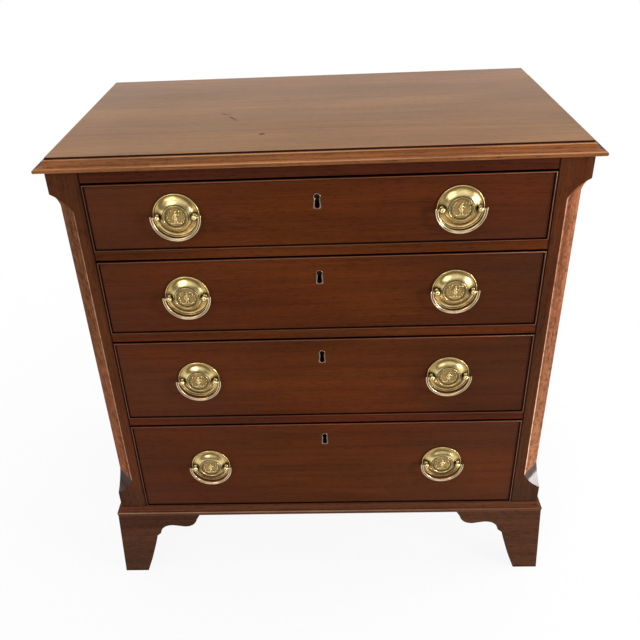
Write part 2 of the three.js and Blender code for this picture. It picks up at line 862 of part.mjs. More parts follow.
// Turned post: nut inside the drawer, shank through the front, collar on the plate, neck and ball
function handlePost(x) {
  const ball = pivotStandoff - faceRecess;
  const nutFace = -frontBack - gap;
  const collarTop = ball - ballRadius;
  const profile = [
    [0, nutFace - nutThickness],
    [nutRadius, nutFace - nutThickness],
    [nutRadius, nutFace],
    [shankRadius, nutFace],
    [shankRadius, 0],
    [collarRadius, 0],
    [collarRadius, collarTop],
    [neckRadius, collarTop + collarRadius - neckRadius],
    [ballRadius, ball - tipRadius],
    [ballRadius, ball + tipRadius],
    [neckRadius, ball + neckRadius + gap],
    [tipRadius, ball + ballRadius],
    [0, ball + ballRadius + tipRadius],
  ];
  return spun(profile, smallRoundSides, x, 0);
}

function cylinderAlongX(from, to, radius, y, z, sides) {
  const geometry = new THREE.CylinderGeometry(radius, radius, to - from, sides);
  return toSolid(remapped(geometry, (a, b, c) => [(from + to) / 2 + b, y + c, z + a]));
}

function handlePlate() {
  const half = pivotSpacing / 2;
  const bore = half + ballRadius - pinReach - pinClearance;
  const past = half + ballRadius + overrun;
  const bores = [[-past, -bore], [bore, past]].map(([from, to]) => (
    cylinderAlongX(from, to, pinRadius + pinClearance, pivotPlane(), 0, smallRoundSides)
  ));
  return cut(joined([rosette(), handlePost(-half), handlePost(half)]), bores);
}

// Drop bail: a half ring with an outward ear above each end and a pin turned in to the ball
class BailArc extends THREE.Curve {
  getPoint(t, target = new THREE.Vector3()) {
    const angle = Math.PI * (1 + t);
    return target.set(Math.cos(angle) * bailRadius, pivotPlane(), Math.sin(angle) * bailRadius);
  }
}

function bail() {
  const section = new THREE.Shape();
  section.absellipse(0, 0, bailThickness / 2, bailWidth / 2, 0, Math.PI * 2, false);
  const ring = toSolid(new THREE.ExtrudeGeometry(section, {
    steps: bailSteps, curveSegments: bailSectionSteps, bevelEnabled: false, extrudePath: new BailArc(),
  }));
  const pinTip = pivotSpacing / 2 + ballRadius - pinReach;
  const pins = [[-bailRadius, -pinTip], [pinTip, bailRadius]].map(([from, to]) => (
    cylinderAlongX(from, to, pinRadius, pivotPlane(), 0, smallRoundSides)
  ));
  const ears = [-1, 1].map((side) => {
    const inner = side * (bailRadius - bailWidth / 2);
    const outer = side * (bailRadius + bailWidth / 2);
    const outline = shapeOf([
      [inner, -bailWidth / 2],
      [outer, -bailWidth / 2],
      [outer + side * earLength * earShares.lean, earLength * earShares.tip],
      [outer, earLength * earShares.notch],
      [inner, bailWidth / 2],
    ]);
    return prism(outline, 'y', pivotPlane() - bailThickness / 2, pivotPlane() + bailThickness / 2);
  });
  return joined([ring, ...pins, ...ears]);
}

function drawer(row) {
  const { bottom, height } = openings[row];
  const number = row + 1;
  const group = new THREE.Group();
  group.position.z = bottom;
  const pieces = [
    ['front', drawerFront(height), mahogany],
    ['cock_bead', cockBead(height), beadMahogany],
    ['box', drawerBox(height), oak],
    ['bottom', bottomPanel(), oak],
    ['escutcheon', escutcheon(height), brass],
    ['lock', tillLock(height), brass],
    ['lock_bolt', lockBolt(height), steel],
  ];
  for (const [piece, solid, material] of pieces) {
    group.add(namedMesh(`drawer_${number}_${piece}`, toGeometry(solid), material));
  }
  for (const [side, sign] of [['left', -1], ['right', 1]]) {
    const handle = new THREE.Group();
    handle.position.set(sign * handleOffset, 0, handleLevel(height));
    handle.add(namedMesh(`drawer_${number}_handle_${side}_plate`, handlePlateGeometry, brass));
    handle.add(namedMesh(`drawer_${number}_handle_${side}_bail`, bailGeometry, brass));
    group.add(handle);
  }
  return group;
}

const handlePlateGeometry = toGeometry(handlePlate());
const bailGeometry = toGeometry(bail());

const carcass = new THREE.Group();
carcass.add(topBoard(), ...cornerPosts(), ...sidePanels(), topRail(), ...dividers());
carcass.add(bottomBoard(), backPanel(), baseMoulding());
for (const [side, sign] of [['left', -1], ['right', 1]]) {
  carcass.add(bracketFoot(`bracket_foot_front_${side}`, sign, false));
  carcass.add(bracketFoot(`bracket_foot_rear_${side}`, sign, true));
}

// The chest is centred in depth between the tips of its handle posts and its back
const chest = new THREE.Group();
chest.name = 'bachelors_chest';
chest.add(carcass, ...openings.map((opening, row) => drawer(row)));
const reach = pivotStandoff + ballRadius + tipRadius - faceRecess;
chest.position.y = (reach - carcassDepth) / 2;
chest.updateMatrixWorld(true);

export default chest;
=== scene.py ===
# Looks of the bachelor's chest: fine mouldings, cast and turned brass, wood finishes, camera and light.
# Lengths are in metres, small ones written as millimetres times MM, and a handle's in millimetres.

import functools
import math

import bmesh
import bpy
from mathutils import Matrix, Vector


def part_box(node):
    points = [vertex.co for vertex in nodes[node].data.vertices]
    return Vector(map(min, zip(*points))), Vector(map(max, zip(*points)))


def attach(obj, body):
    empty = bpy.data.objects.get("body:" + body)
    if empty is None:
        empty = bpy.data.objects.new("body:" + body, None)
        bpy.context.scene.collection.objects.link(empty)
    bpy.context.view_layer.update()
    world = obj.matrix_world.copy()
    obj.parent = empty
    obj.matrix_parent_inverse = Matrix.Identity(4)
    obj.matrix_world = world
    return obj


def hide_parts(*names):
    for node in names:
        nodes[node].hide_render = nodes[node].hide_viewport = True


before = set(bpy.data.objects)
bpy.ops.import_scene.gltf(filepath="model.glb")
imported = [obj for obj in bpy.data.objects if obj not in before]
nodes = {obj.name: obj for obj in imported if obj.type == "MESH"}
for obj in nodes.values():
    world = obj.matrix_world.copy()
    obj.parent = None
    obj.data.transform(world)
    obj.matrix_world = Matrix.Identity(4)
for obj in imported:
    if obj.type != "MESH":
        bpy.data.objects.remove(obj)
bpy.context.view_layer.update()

MM = 0.001

# Places taken from the frame
post_low, post_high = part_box("corner_post_right")
top_low, top_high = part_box("top_board")
moulding_low, moulding_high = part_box("base_moulding")
back_low, back_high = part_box("back_panel")
FACE = post_low.y
BACK = top_high.y
CARCASS_HALF = post_high.x
OPENING_HALF = post_low.x
POST_DEPTH = post_high.y - post_low.y
OVERHANG = top_high.x - CARCASS_HALF
DRAWERS = (1, 2, 3, 4)
SIDES = (("left", -1), ("right", 1))
ENDS = (-1, 1)
ACROSS = Vector((1, 0, 0))
BACKWARD = Vector((0, 1, 0))
UP = Vector((0, 0, 1))


def link(thing):
    bpy.context.scene.collection.objects.link(thing)


# Camera

CAMERA_PLACE = Vector((15, -1143.4, 1168.2)) * MM
CAMERA_PITCH = math.radians(29.96)
CAMERA_YAW = math.radians(-2.60)
CAMERA_ROLL = math.radians(2.72)
IMAGE_PIXELS = 640
FOCAL_PIXELS = 716.6
CENTRE_PIXEL = (301.5, 286.5)


def make_camera():
    data = bpy.data.cameras.new("camera")
    data.lens = FOCAL_PIXELS / IMAGE_PIXELS * data.sensor_width
    data.shift_x = (IMAGE_PIXELS / 2 - CENTRE_PIXEL[0]) / IMAGE_PIXELS
    data.shift_y = (CENTRE_PIXEL[1] - IMAGE_PIXELS / 2) / IMAGE_PIXELS
    forward = Vector((
        math.sin(CAMERA_YAW) * math.cos(CAMERA_PITCH),
        math.cos(CAMERA_YAW) * math.cos(CAMERA_PITCH),
        -math.sin(CAMERA_PITCH),
    ))
    level_right = Vector((math.cos(CAMERA_YAW), -math.sin(CAMERA_YAW), 0))
    level_up = level_right.cross(forward)
    right = math.cos(CAMERA_ROLL) * level_right - math.sin(CAMERA_ROLL) * level_up
    up = math.sin(CAMERA_ROLL) * level_right + math.cos(CAMERA_ROLL) * level_up
    camera = bpy.data.objects.new("camera", data)
    turned = Matrix((right, up, -forward)).transposed().to_4x4()
    camera.matrix_world = Matrix.Translation(CAMERA_PLACE) @ turned
    link(camera)
    bpy.context.scene.camera = camera


make_camera()


# Shader graphs

AXES = {"x": 0, "y": 1, "z": 2}


class Graph:
    """A material's or a world's node tree, with short calls to add nodes and join them."""

    def __init__(self, owner):
        owner.use_nodes = True
        self.tree = owner.node_tree
        self.tree.nodes.clear()

    def node(self, kind, inputs=None, **settings):
        made = self.tree.nodes.new("ShaderNode" + kind)
        for name, value in settings.items():
            setattr(made, name, value)
        for name, value in (inputs or {}).items():
            self.feed(made.inputs[name], value)
        return made

    def feed(self, socket, value):
        if isinstance(value, bpy.types.NodeSocket):
            self.tree.links.new(value, socket)
        else:
            socket.default_value = value

    def noise(self, point, scale, detail, rough=0.5, distortion=0):
        made = self.node("TexNoise", {
            "Vector": point, "Scale": scale, "Detail": detail, "Roughness": rough, "Distortion": distortion,
        })
        return made.outputs["Fac"]

    def grain(self, point, axis, lengthwise, across, detail, place=(0, 0, 0), rough=0.5, distortion=0):
        """Noise that is stretched along one axis."""
        scale = [across, across, across]
        scale[AXES[axis]] = lengthwise
        spot = self.node("Mapping", {"Vector": point, "Scale": scale, "Location": place}).outputs[0]
        return self.noise(spot, 1, detail, rough, distortion)

    def ramp(self, value, low, high, start=0, end=1):
        made = self.node("MapRange", {
            "Value": value, "From Min": low, "From Max": high, "To Min": start, "To Max": end,
        })
        made.clamp = True
        return made.outputs[0]

    def sums(self, operation, first, second=0.0):
        made = self.node("Math", operation=operation)
        self.feed(made.inputs[0], first)
        self.feed(made.inputs[1], second)
        return made.outputs[0]

    def product(self, first, second):
        return self.sums("MULTIPLY", first, second)

    def vectors(self, operation, first, second=(0, 0, 0), output=0):
        made = self.node("VectorMath", operation=operation)
        self.feed(made.inputs[0], first)
        self.feed(made.inputs[1], second)
        return made.outputs[output]

    def part(self, vector, axis):
        return self.node("SeparateXYZ", {0: vector}).outputs[AXES[axis]]

    def aside(self, vector, axis="x"):
        """Distance along an axis to either side of the middle."""
        return self.sums("ABSOLUTE", self.part(vector, axis))

    def near(self, value, middle, half):
        """One at a value, and nothing further from it than half a width."""
        distance = self.sums("ABSOLUTE", self.sums("SUBTRACT", value, middle))
        return self.ramp(distance, half * 0.55, half, 1, 0)

    def mix(self, share, first, second, blend="MIX"):
        made = self.node("Mix", data_type="RGBA", blend_type=blend)
        self.feed(made.inputs[0], share)
        for socket, value in ((made.inputs[6], first), (made.inputs[7], second)):
            self.feed(socket, value if isinstance(value, bpy.types.NodeSocket) else (*value, 1))
        return made.outputs[2]

    def shade(self, share, colour, tint):
        """Multiplies a colour by a tint where the share is one."""
        return self.mix(share, colour, tint if isinstance(tint, tuple) else (tint, tint, tint), "MULTIPLY")

    def bump(self, height, distance, strength, below=None):
        inputs = {"Height": height, "Distance": distance, "Strength": strength}
        if below is not None:
            inputs["Normal"] = below
        return self.node("Bump", inputs).outputs[0]

    def shut_in(self, distance, low, high, samples=6):
        """One where a place is shut in by what is near it, and nothing on open faces."""
        open_share = self.node("AmbientOcclusion", {"Distance": distance}, samples=samples).outputs["AO"]
        return self.ramp(open_share, high, low)

    def finish(self, **inputs):
        values = {name.replace("_", " "): value for name, value in inputs.items()}
        shader = self.node("BsdfPrincipled", values)
        self.node("OutputMaterial", {"Surface": shader.outputs[0]})


def linear(red, green, blue):
    """A colour written as 0 to 255 turned into the linear values that shaders take."""
    def one(value):
        share = value / 255
        return share / 12.92 if share <= 0.04045 else ((share + 0.055) / 1.055) ** 2.4
    return (one(red), one(green), one(blue))


def times(colour, share):
    return tuple(min(1.0, value * share) for value in colour)


# Woods

JOINT_HALF = 1.7 * MM
# Pale colour of lines lightened by wear and painted highlight
SCUFFED_AND_LIT = (0.46, 0.33, 0.23)

# Stretches of the chest over which a finish and its painted sheen, highlight, shade and light change, in
# metres
SHEEN_START = 0.06
THINNED_STRETCH = (0.1, 0.36)
DARKENED_STRETCH = (0.08, 0.24)
PAINTED_LIGHT_HEIGHTS = (0.62, 0.2)


def wood(name, axis, tone, contrast=1.0, gloss=0.3, level=0.05, flecks=0.5, scuffed_and_lit_edges=0.3, crevice_shade=0.8,
         ruddy=0.6, joints=False, painted_sheen=0.0, scuffed_and_lit_lines=(), marks=None):
    """Old wood with its grain along one axis: figure, streaks, dark flecks, edges lightened by use and
    painted highlight, and painted shade in recesses.

    A painted sheen greys it towards both ends of the chest. A line lightened by use and painted highlight
    is an axis, a distance along it to either side, half the width of the line and the share of it
    that is left at the right end.
    """
    material = bpy.data.materials.new(name)
    graph = Graph(material)
    point = graph.node("TexCoord").outputs["Object"]
    middle = linear(*tone)

    drift = graph.grain(point, axis, 1.1, 3.5, 2)
    wander = graph.vectors("ADD", point, graph.product(drift, 0.03))
    figure = graph.grain(wander, axis, 1.6, 13, 4, (3, 1, 2), 0.55, 0.3)
    redness = graph.grain(wander, axis, 2.4, 7, 2, (5, 2, 8))
    bands = graph.grain(wander, axis, 2.6, 95, 5, (1, 5, 3), 0.6)
    lines = graph.grain(wander, axis, 6, 430, 4, (7, 2, 5), 0.65)
    fleck_field = graph.grain(wander, axis, 75, 420, 3, (4, 9, 1), 0.6)
    pore_field = graph.grain(wander, axis, 60, 1500, 2, (2, 8, 4))
    cloud = graph.grain(point, axis, 3.2, 5.5, 4, (8, 3, 6), 0.55)

    colour = graph.mix(graph.ramp(figure, 0.3, 0.7), times(middle, 1 - 0.26 * contrast),
                       times(middle, 1 + 0.24 * contrast))
    colour = graph.shade(graph.ramp(redness, 0.42, 0.66, 0, ruddy), colour, (1.1, 0.86, 0.8))
    colour = graph.shade(graph.ramp(bands, 0.44, 0.7, 0, 0.6 * contrast), colour, 0.62)
    colour = graph.shade(graph.ramp(lines, 0.5, 0.72, 0, 0.6 * contrast), colour, 0.55)
    colour = graph.shade(graph.ramp(lines, 0.44, 0.3, 0, 0.6 * contrast), colour, 1.35)
    flecked = graph.ramp(fleck_field, 0.54, 0.64, 0, flecks)
    colour = graph.shade(flecked, colour, 0.36)
    pore = graph.ramp(pore_field, 0.6, 0.7)
    colour = graph.shade(graph.product(pore, 0.5), colour, 0.4)
    colour = graph.shade(graph.ramp(cloud, 0.42, 0.72, 0, 0.6), colour, (0.7, 0.66, 0.7))
    # Painted sheen: a grey tint towards both ends of the chest stands for light reflected from the fronts
    if painted_sheen:
        greyed = graph.product(graph.ramp(graph.aside(point), SHEEN_START, OPENING_HALF, 0, painted_sheen),
                               graph.ramp(cloud, 0.3, 0.6))
        colour = graph.mix(greyed, colour, times(linear(80, 46, 34), 0.95))
    # Lines lightened partly by wear and partly as painted highlight along an arris, fading towards the right
    # end
    for line_axis, distance, half, right_share in scuffed_and_lit_lines:
        line = graph.near(graph.aside(point, line_axis), distance, half)
        line = graph.product(line, graph.ramp(graph.part(point, "x"), *THINNED_STRETCH, 1, right_share))
        scuffed_and_lit = tuple((value + pale) / 2 for value, pale in zip(times(middle, 2.1), SCUFFED_AND_LIT))
        patches = graph.ramp(cloud, 0.6, 0.46, 0.35, 0.9)
        colour = graph.mix(graph.product(line, patches), colour, scuffed_and_lit)
    if marks:
        colour = marks(graph, point, colour)

    # Edges lightened partly by wear and partly as painted highlight
    rubbed = graph.node("Bevel", {"Radius": 1.4 * MM}, samples=4).outputs[0]
    flat = graph.node("NewGeometry").outputs["Normal"]
    turned = graph.ramp(graph.vectors("DOT_PRODUCT", rubbed, flat, "Value"), 0.985, 0.9)
    patchy = graph.ramp(graph.noise(point, 60, 4, 0.6), 0.36, 0.62, 0, scuffed_and_lit_edges)
    colour = graph.mix(graph.product(turned, patchy), colour, times(middle, 2.4))

    # Painted shade: darker where corners, recesses and crevices shut a place in
    colour = graph.shade(graph.shut_in(16 * MM, 0.25, 0.85), colour, 1 - 0.5 * crevice_shade)
    colour = graph.shade(graph.product(graph.shut_in(2.6 * MM, 0.25, 0.72), crevice_shade), colour, 0.06)
    if joints:
        beside = graph.near(graph.aside(point), OPENING_HALF, JOINT_HALF)
        colour = graph.shade(graph.product(beside, 0.9), colour, (0.16, 0.1, 0.1))

    smear = graph.noise(point, 8, 5, 0.6)
    rough = graph.ramp(smear, 0.3, 0.7, gloss - 0.05, gloss + 0.08)
    rough = graph.sums("ADD", rough, graph.product(pore, 0.1))
    height = graph.sums("SUBTRACT", graph.product(lines, 0.4), graph.sums("ADD", pore, flecked))
    normal = graph.bump(height, 0.05 * MM, 0.5)
    ripple = graph.grain(point, axis, 3, 14, 2, (9, 9, 9))
    graph.finish(Base_Color=colour, Roughness=rough, Specular_IOR_Level=level,
                 Normal=graph.bump(ripple, 0.3 * MM, 0.3, normal))
    return material


# Marks of use on the top, in millimetres across and back from the middle of its front
BOARD_JOINT = -104.0
SCRATCHES = (
    ((-152, -11), (-141, -21), 0.05), ((-141, -21), (-134, -14), 0.5), ((-138, -28), (-122, -55), 0.05),
)
DENTS = (((-78.7, -123.8), 4.6), ((164, 38), 1.1), ((-262, 91), 1.3))
SCRATCH_HALF = 2.1


def top_marks(graph, point, colour):
    """The joint of two boards, a scratch and a few dents."""
    across = graph.sums("DIVIDE", graph.part(point, "x"), MM)
    back = graph.sums("DIVIDE", graph.part(point, "y"), MM)
    waved = graph.sums("ADD", back, graph.ramp(graph.noise(point, 14, 2), 0.3, 0.7, -1.2, 1.2))
    front_board = graph.ramp(waved, BOARD_JOINT + 0.3, BOARD_JOINT - 0.3)
    colour = graph.shade(front_board, colour, (1.08, 1.08, 1.05))
    colour = graph.shade(graph.product(graph.near(waved, BOARD_JOINT, 1.1), 0.55), colour, 0.6)
    shaken = graph.ramp(graph.noise(point, 260, 3), 0.3, 0.7, -1.6, 1.6)
    spot = graph.node("CombineXYZ", {"X": graph.sums("ADD", across, shaken), "Y": back}).outputs[0]
    for start, end, tint in SCRATCHES:
        run = Vector((end[0] - start[0], end[1] - start[1], 0))
        length = run.length
        run.normalize()
        offset = graph.vectors("SUBTRACT", spot, (*start, 0))
        aside = graph.vectors("DOT_PRODUCT", offset, (-run.y, run.x, 0), "Value")
        ahead = graph.vectors("DOT_PRODUCT", offset, tuple(run), "Value")
        line = graph.product(graph.near(aside, 0, SCRATCH_HALF), graph.near(ahead, length / 2, length / 2))
        colour = graph.shade(line, colour, tint)
    for place, radius in DENTS:
        distance = graph.vectors("DISTANCE", spot, (*place, 0), "Value")
        colour = graph.shade(graph.near(distance, 0, radius), colour, (0.1, 0.05, 0.03))
    return colour


def painted_front_shade(graph, point, colour):
    """Painted shade: a little darker towards the right end."""
    right = graph.ramp(graph.part(point, "x"), *DARKENED_STRETCH)
    return graph.shade(right, colour, (0.76, 0.8, 0.76))


def cant_figure_and_light(graph, point, colour):
    """Short slanted lines of figure, and painted light: paler towards the floor, most at the right end."""
    slant = graph.node("CombineXYZ", {"Z": graph.product(graph.part(point, "x"), 0.5)}).outputs[0]
    lines = graph.grain(graph.vectors("ADD", point, slant), "x", 12, 150, 3)
    colour = graph.shade(graph.ramp(lines, 0.53, 0.62, 0, 0.9), colour, 0.6)
    colour = graph.shade(graph.ramp(lines, 0.46, 0.38, 0, 0.9), colour, 1.25)
    # Painted light: paler low down, most on the right cant
    low = graph.ramp(graph.part(point, "z"), *PAINTED_LIGHT_HEIGHTS)
    right = graph.ramp(graph.part(point, "x"), -0.1, 0.1, 0.25, 1)
    return graph.shade(graph.product(low, right), colour, (1.45, 1.49, 1.53))


def post_marks(graph, point, colour):
    """Duller and greyer in the square block near the floor."""
    block_top = moulding_high.z + CANT_BLOCK
    low = graph.ramp(graph.part(point, "z"), block_top + 20 * MM, block_top + 4 * MM)
    return graph.shade(low, colour, (0.78, 0.96, 1.25))


# Heights of the bright lines of wear and painted highlight along the mouldings, and the edge between a
# post's front and its cant
NOSE_HEIGHT = 6 * MM
NOSE_TOP = top_low.z + NOSE_HEIGHT
EDGE_TOP = top_high.z - 3.7 * MM
BASE_BEAD_LIGHT = moulding_low.z + 7 * MM
CANT_WIDTH = 30 * MM
CANT_EDGE = CARCASS_HALF - CANT_WIDTH + 1.2 * MM
# The stops' dark grey tone stands for the reflections in their polish: painted reflection
STOP_WOOD = dict(tone=(64, 42, 34), contrast=0.8, flecks=0.3, ruddy=0.2, scuffed_and_lit_edges=0)
WOODS = {
    "front": dict(tone=(93, 44, 13), flecks=0.4, painted_sheen=0.5),
    "middle_front": dict(tone=(93, 44, 13), flecks=0.4, painted_sheen=0.5, marks=painted_front_shade),
    "rail": dict(tone=(82, 38, 18), joints=True, contrast=1.2),
    "divider": dict(tone=(96, 47, 15), joints=True, contrast=1.2),
    "low_divider": dict(tone=(89, 40, 16), joints=True, contrast=1.2),
    "post": dict(tone=(90, 49, 24), joints=True, contrast=1.2, flecks=0.6, marks=post_marks),
    # The cants' tone, paler than the posts', stands partly for the light that falls on them: painted light
    "cant": dict(tone=(130, 84, 58), contrast=1.5, gloss=0.4, level=0.0, scuffed_and_lit_edges=1.0,
                 scuffed_and_lit_lines=(("x", CANT_EDGE, 1.5 * MM, 1.0),), marks=cant_figure_and_light),
    "stop": dict(STOP_WOOD, gloss=0.12, level=0.4),
    "left_stop": dict(STOP_WOOD, gloss=0.2, level=0.1),
    "side": dict(tone=(84, 44, 22), contrast=1.2, level=0.08),
    "moulding": dict(tone=(100, 56, 30), level=0.1, scuffed_and_lit_edges=0.6,
                     scuffed_and_lit_lines=(("z", BASE_BEAD_LIGHT, 1.5 * MM, 0.3),)),
    "foot": dict(tone=(85, 51, 31), flecks=0.7, scuffed_and_lit_edges=0.5),
    "foot_edge": dict(tone=(50, 30, 20), level=0.0, gloss=0.6, scuffed_and_lit_edges=0.2),
    # The beads' pale tone stands partly for the highlight along their round fronts: painted highlight
    "bead": dict(tone=(122, 72, 44), contrast=0.9, gloss=0.2, level=0.17, flecks=0.3, crevice_shade=1.0),
    # Painted shade: near black for the bead's faces beside its lit line
    "bead_shade": dict(tone=(34, 16, 9), level=0.03, crevice_shade=1.0),
    "edge": dict(tone=(156, 95, 48), contrast=1.5, gloss=0.28, level=0.12, flecks=0.6, scuffed_and_lit_edges=0.9,
                 scuffed_and_lit_lines=(("z", NOSE_TOP, 0.9 * MM, 1.0), ("z", EDGE_TOP, 1.0 * MM, 1.0))),
    "edge_end": dict(tone=(94, 56, 34), contrast=1.2, flecks=0.9, scuffed_and_lit_edges=0.4),
    # Painted shade: the quirk's face is dark as the shadow in its groove
    "quirk": dict(tone=(52, 26, 14)),
    "oak": dict(tone=(152, 118, 78), contrast=0.9, gloss=0.7, level=0.2, scuffed_and_lit_edges=0.2),
    "pine": dict(tone=(120, 92, 60), contrast=1.3, gloss=0.8, level=0.2, scuffed_and_lit_edges=0.2),
}


@functools.cache
def timber(kind, axis):
    """The finish of one kind of wood along one axis, made once."""
    return wood(f"{kind}_{axis}", axis, **WOODS[kind])


# The top's pale tone stands partly for the sheen of light reflected from it: painted sheen
top_wood = wood("top_x", "x", (157, 111, 68), contrast=0.62, gloss=0.16, flecks=0.25,
                ruddy=0.25, marks=top_marks)


# Metals

BRIGHT_BRASS = (0.9, 0.71, 0.32)
DULL_BRASS = (0.46, 0.33, 0.16)
# Dark brown of dirt and painted shade, for hollows, grooves and round the pivots
DIRT_AND_SHADE = (0.022, 0.013, 0.006)


def handle_radius(graph, point):
    """Distance from the middle of a handle, seen from the front, in millimetres."""
    flat = graph.vectors("MULTIPLY", point, (1, 0, 1))
    return graph.sums("DIVIDE", graph.vectors("LENGTH", flat, output="Value"), MM)


def plate_patina_and_shade(graph, point, colour):
    """Old lacquer and painted shade on a plate: dark grooves of dirt and painted shade, the lower flange and
    slope browner as painted dark reflection, a dark field round the raised relief, and painted shadow,
    black, round the two pivots.
    """
    radius = handle_radius(graph, point)
    height = graph.sums("DIVIDE", graph.part(point, "z"), MM)
    # Dirt and painted shade in the grooves
    for middle, half, tint in PLATE_GROOVES:
        colour = graph.shade(graph.near(radius, middle, half), colour, tint)
    # Painted dark reflection: the flange browner on its lower half
    flange = graph.product(graph.ramp(radius, 26, 29), graph.ramp(radius, 32.4, 31.8))
    flange = graph.product(flange, graph.ramp(height, -16, -4))
    colour = graph.shade(flange, colour, (0.72, 0.62, 0.46))
    # Painted dark reflection: the slope browner below the middle
    slope = graph.product(graph.ramp(radius, 18, 19.5), graph.ramp(radius, 31, 28))
    colour = graph.shade(graph.product(slope, graph.ramp(height, 1, -15)), colour, (0.7, 0.56, 0.38))
    raised = graph.ramp(graph.part(point, "y"), -(FIELD_HEIGHT + 0.6) * MM, -FIELD_HEIGHT * MM)
    field = graph.product(graph.ramp(radius, FIELD_RADIUS + 0.8, FIELD_RADIUS), raised)
    colour = graph.shade(field, colour, (0.46, 0.38, 0.3))
    # Painted shadow: black round the two pivots
    aside = graph.sums("SUBTRACT", graph.sums("DIVIDE", graph.aside(point), MM), PIVOT_HALF - 1.5)
    spot = graph.node("CombineXYZ", {"X": aside, "Y": graph.product(height, 0.85)}).outputs[0]
    pivot = graph.ramp(graph.vectors("LENGTH", spot, output="Value"), 9.5, 4.5, 0, 0.93)
    return graph.mix(pivot, colour, DIRT_AND_SHADE)


def bail_groove_dirt_and_shade(graph, point, colour):
    """The dark line of dirt and painted shade in the groove between the two reeds of a bail, rubbed away at
    the bottom.
    """
    line = graph.near(handle_radius(graph, point), BAIL_RADIUS, 0.75)
    held = graph.ramp(graph.aside(point), 8 * MM, 15 * MM)
    return graph.mix(graph.product(line, graph.product(held, 0.9)), colour, DIRT_AND_SHADE)


def make_brass(name, shadow_reach, bright=BRIGHT_BRASS, dull=DULL_BRASS, marks=None):
    """Old yellow brass: bright on the rubbed heights, olive where it is dull, dark brown in the hollows with
    dirt and painted shade.
    """
    material = bpy.data.materials.new(name)
    graph = Graph(material)
    point = graph.node("TexCoord").outputs["Object"]
    place = graph.node("ObjectInfo").outputs["Location"]
    spot = graph.vectors("ADD", point, graph.vectors("MULTIPLY", place, (1.7, 1.3, 2.1)))
    blotch = graph.noise(spot, 85, 5, 0.6)
    fine = graph.noise(spot, 700, 3, 0.6)
    colour = graph.mix(graph.ramp(blotch, 0.36, 0.68, 0, 0.75), bright, dull)
    colour = graph.shade(graph.ramp(fine, 0.5, 0.7, 0, 0.5), colour, 0.6)
    if marks:
        colour = marks(graph, point, colour)
    # Dirt and painted shade: hollows that ambient occlusion finds are darkened
    hollow = graph.shut_in(shadow_reach, 0.28, 0.86, 8)
    colour = graph.mix(graph.product(hollow, 0.95), colour, DIRT_AND_SHADE)
    rough = graph.sums("ADD", graph.ramp(blotch, 0.3, 0.7, 0.17, 0.3), graph.product(hollow, 0.3))
    dents = graph.noise(spot, 170, 2)
    normal = graph.bump(fine, 0.03 * MM, 0.35, graph.bump(dents, 0.12 * MM, 0.4))
    graph.finish(Base_Color=colour, Metallic=1.0, Roughness=rough, Normal=normal)
    return material


def make_steel():
    material = bpy.data.materials.new("steel")
    graph = Graph(material)
    blotch = graph.noise(graph.node("TexCoord").outputs["Object"], 160, 5, 0.6)
    colour = graph.mix(graph.ramp(blotch, 0.35, 0.65), linear(120, 116, 110), linear(74, 62, 52))
    graph.finish(Base_Color=colour, Metallic=1.0, Roughness=graph.ramp(blotch, 0.3, 0.7, 0.35, 0.6),
                 Normal=graph.bump(blotch, 0.04 * MM, 0.4))
    return material


# Sizes of the handles that their brass has to know, in millimetres round the middle of a plate
FIELD_RADIUS = 14.9
FIELD_HEIGHT = 7.4
PIVOT_HALF = 27.0
BAIL_RADIUS = 34.8
PLATE_GROOVES = (
    (31.95, 0.8, (0.26, 0.2, 0.13)), (18.8, 0.8, (0.35, 0.27, 0.2)), (16.5, 0.6, (0.3, 0.24, 0.18)),
    (15.0, 0.8, (0.12, 0.09, 0.06)),
)

plate_brass = make_brass("plate_brass", 4 * MM, marks=plate_patina_and_shade)
post_brass = make_brass("post_brass", 1.6 * MM)
bail_brass = make_brass("bail_brass", 1.6 * MM, (0.8, 0.62, 0.38), (0.5, 0.36, 0.2), bail_groove_dirt_and_shade)
key_brass = make_brass("key_brass", 1.6 * MM, (0.3, 0.2, 0.15), (0.18, 0.11, 0.08))
# Painted shade: the long reach darkens the lock inside the drawer
lock_brass = make_brass("lock_brass", 30 * MM)
steel = make_steel()


# Meshes

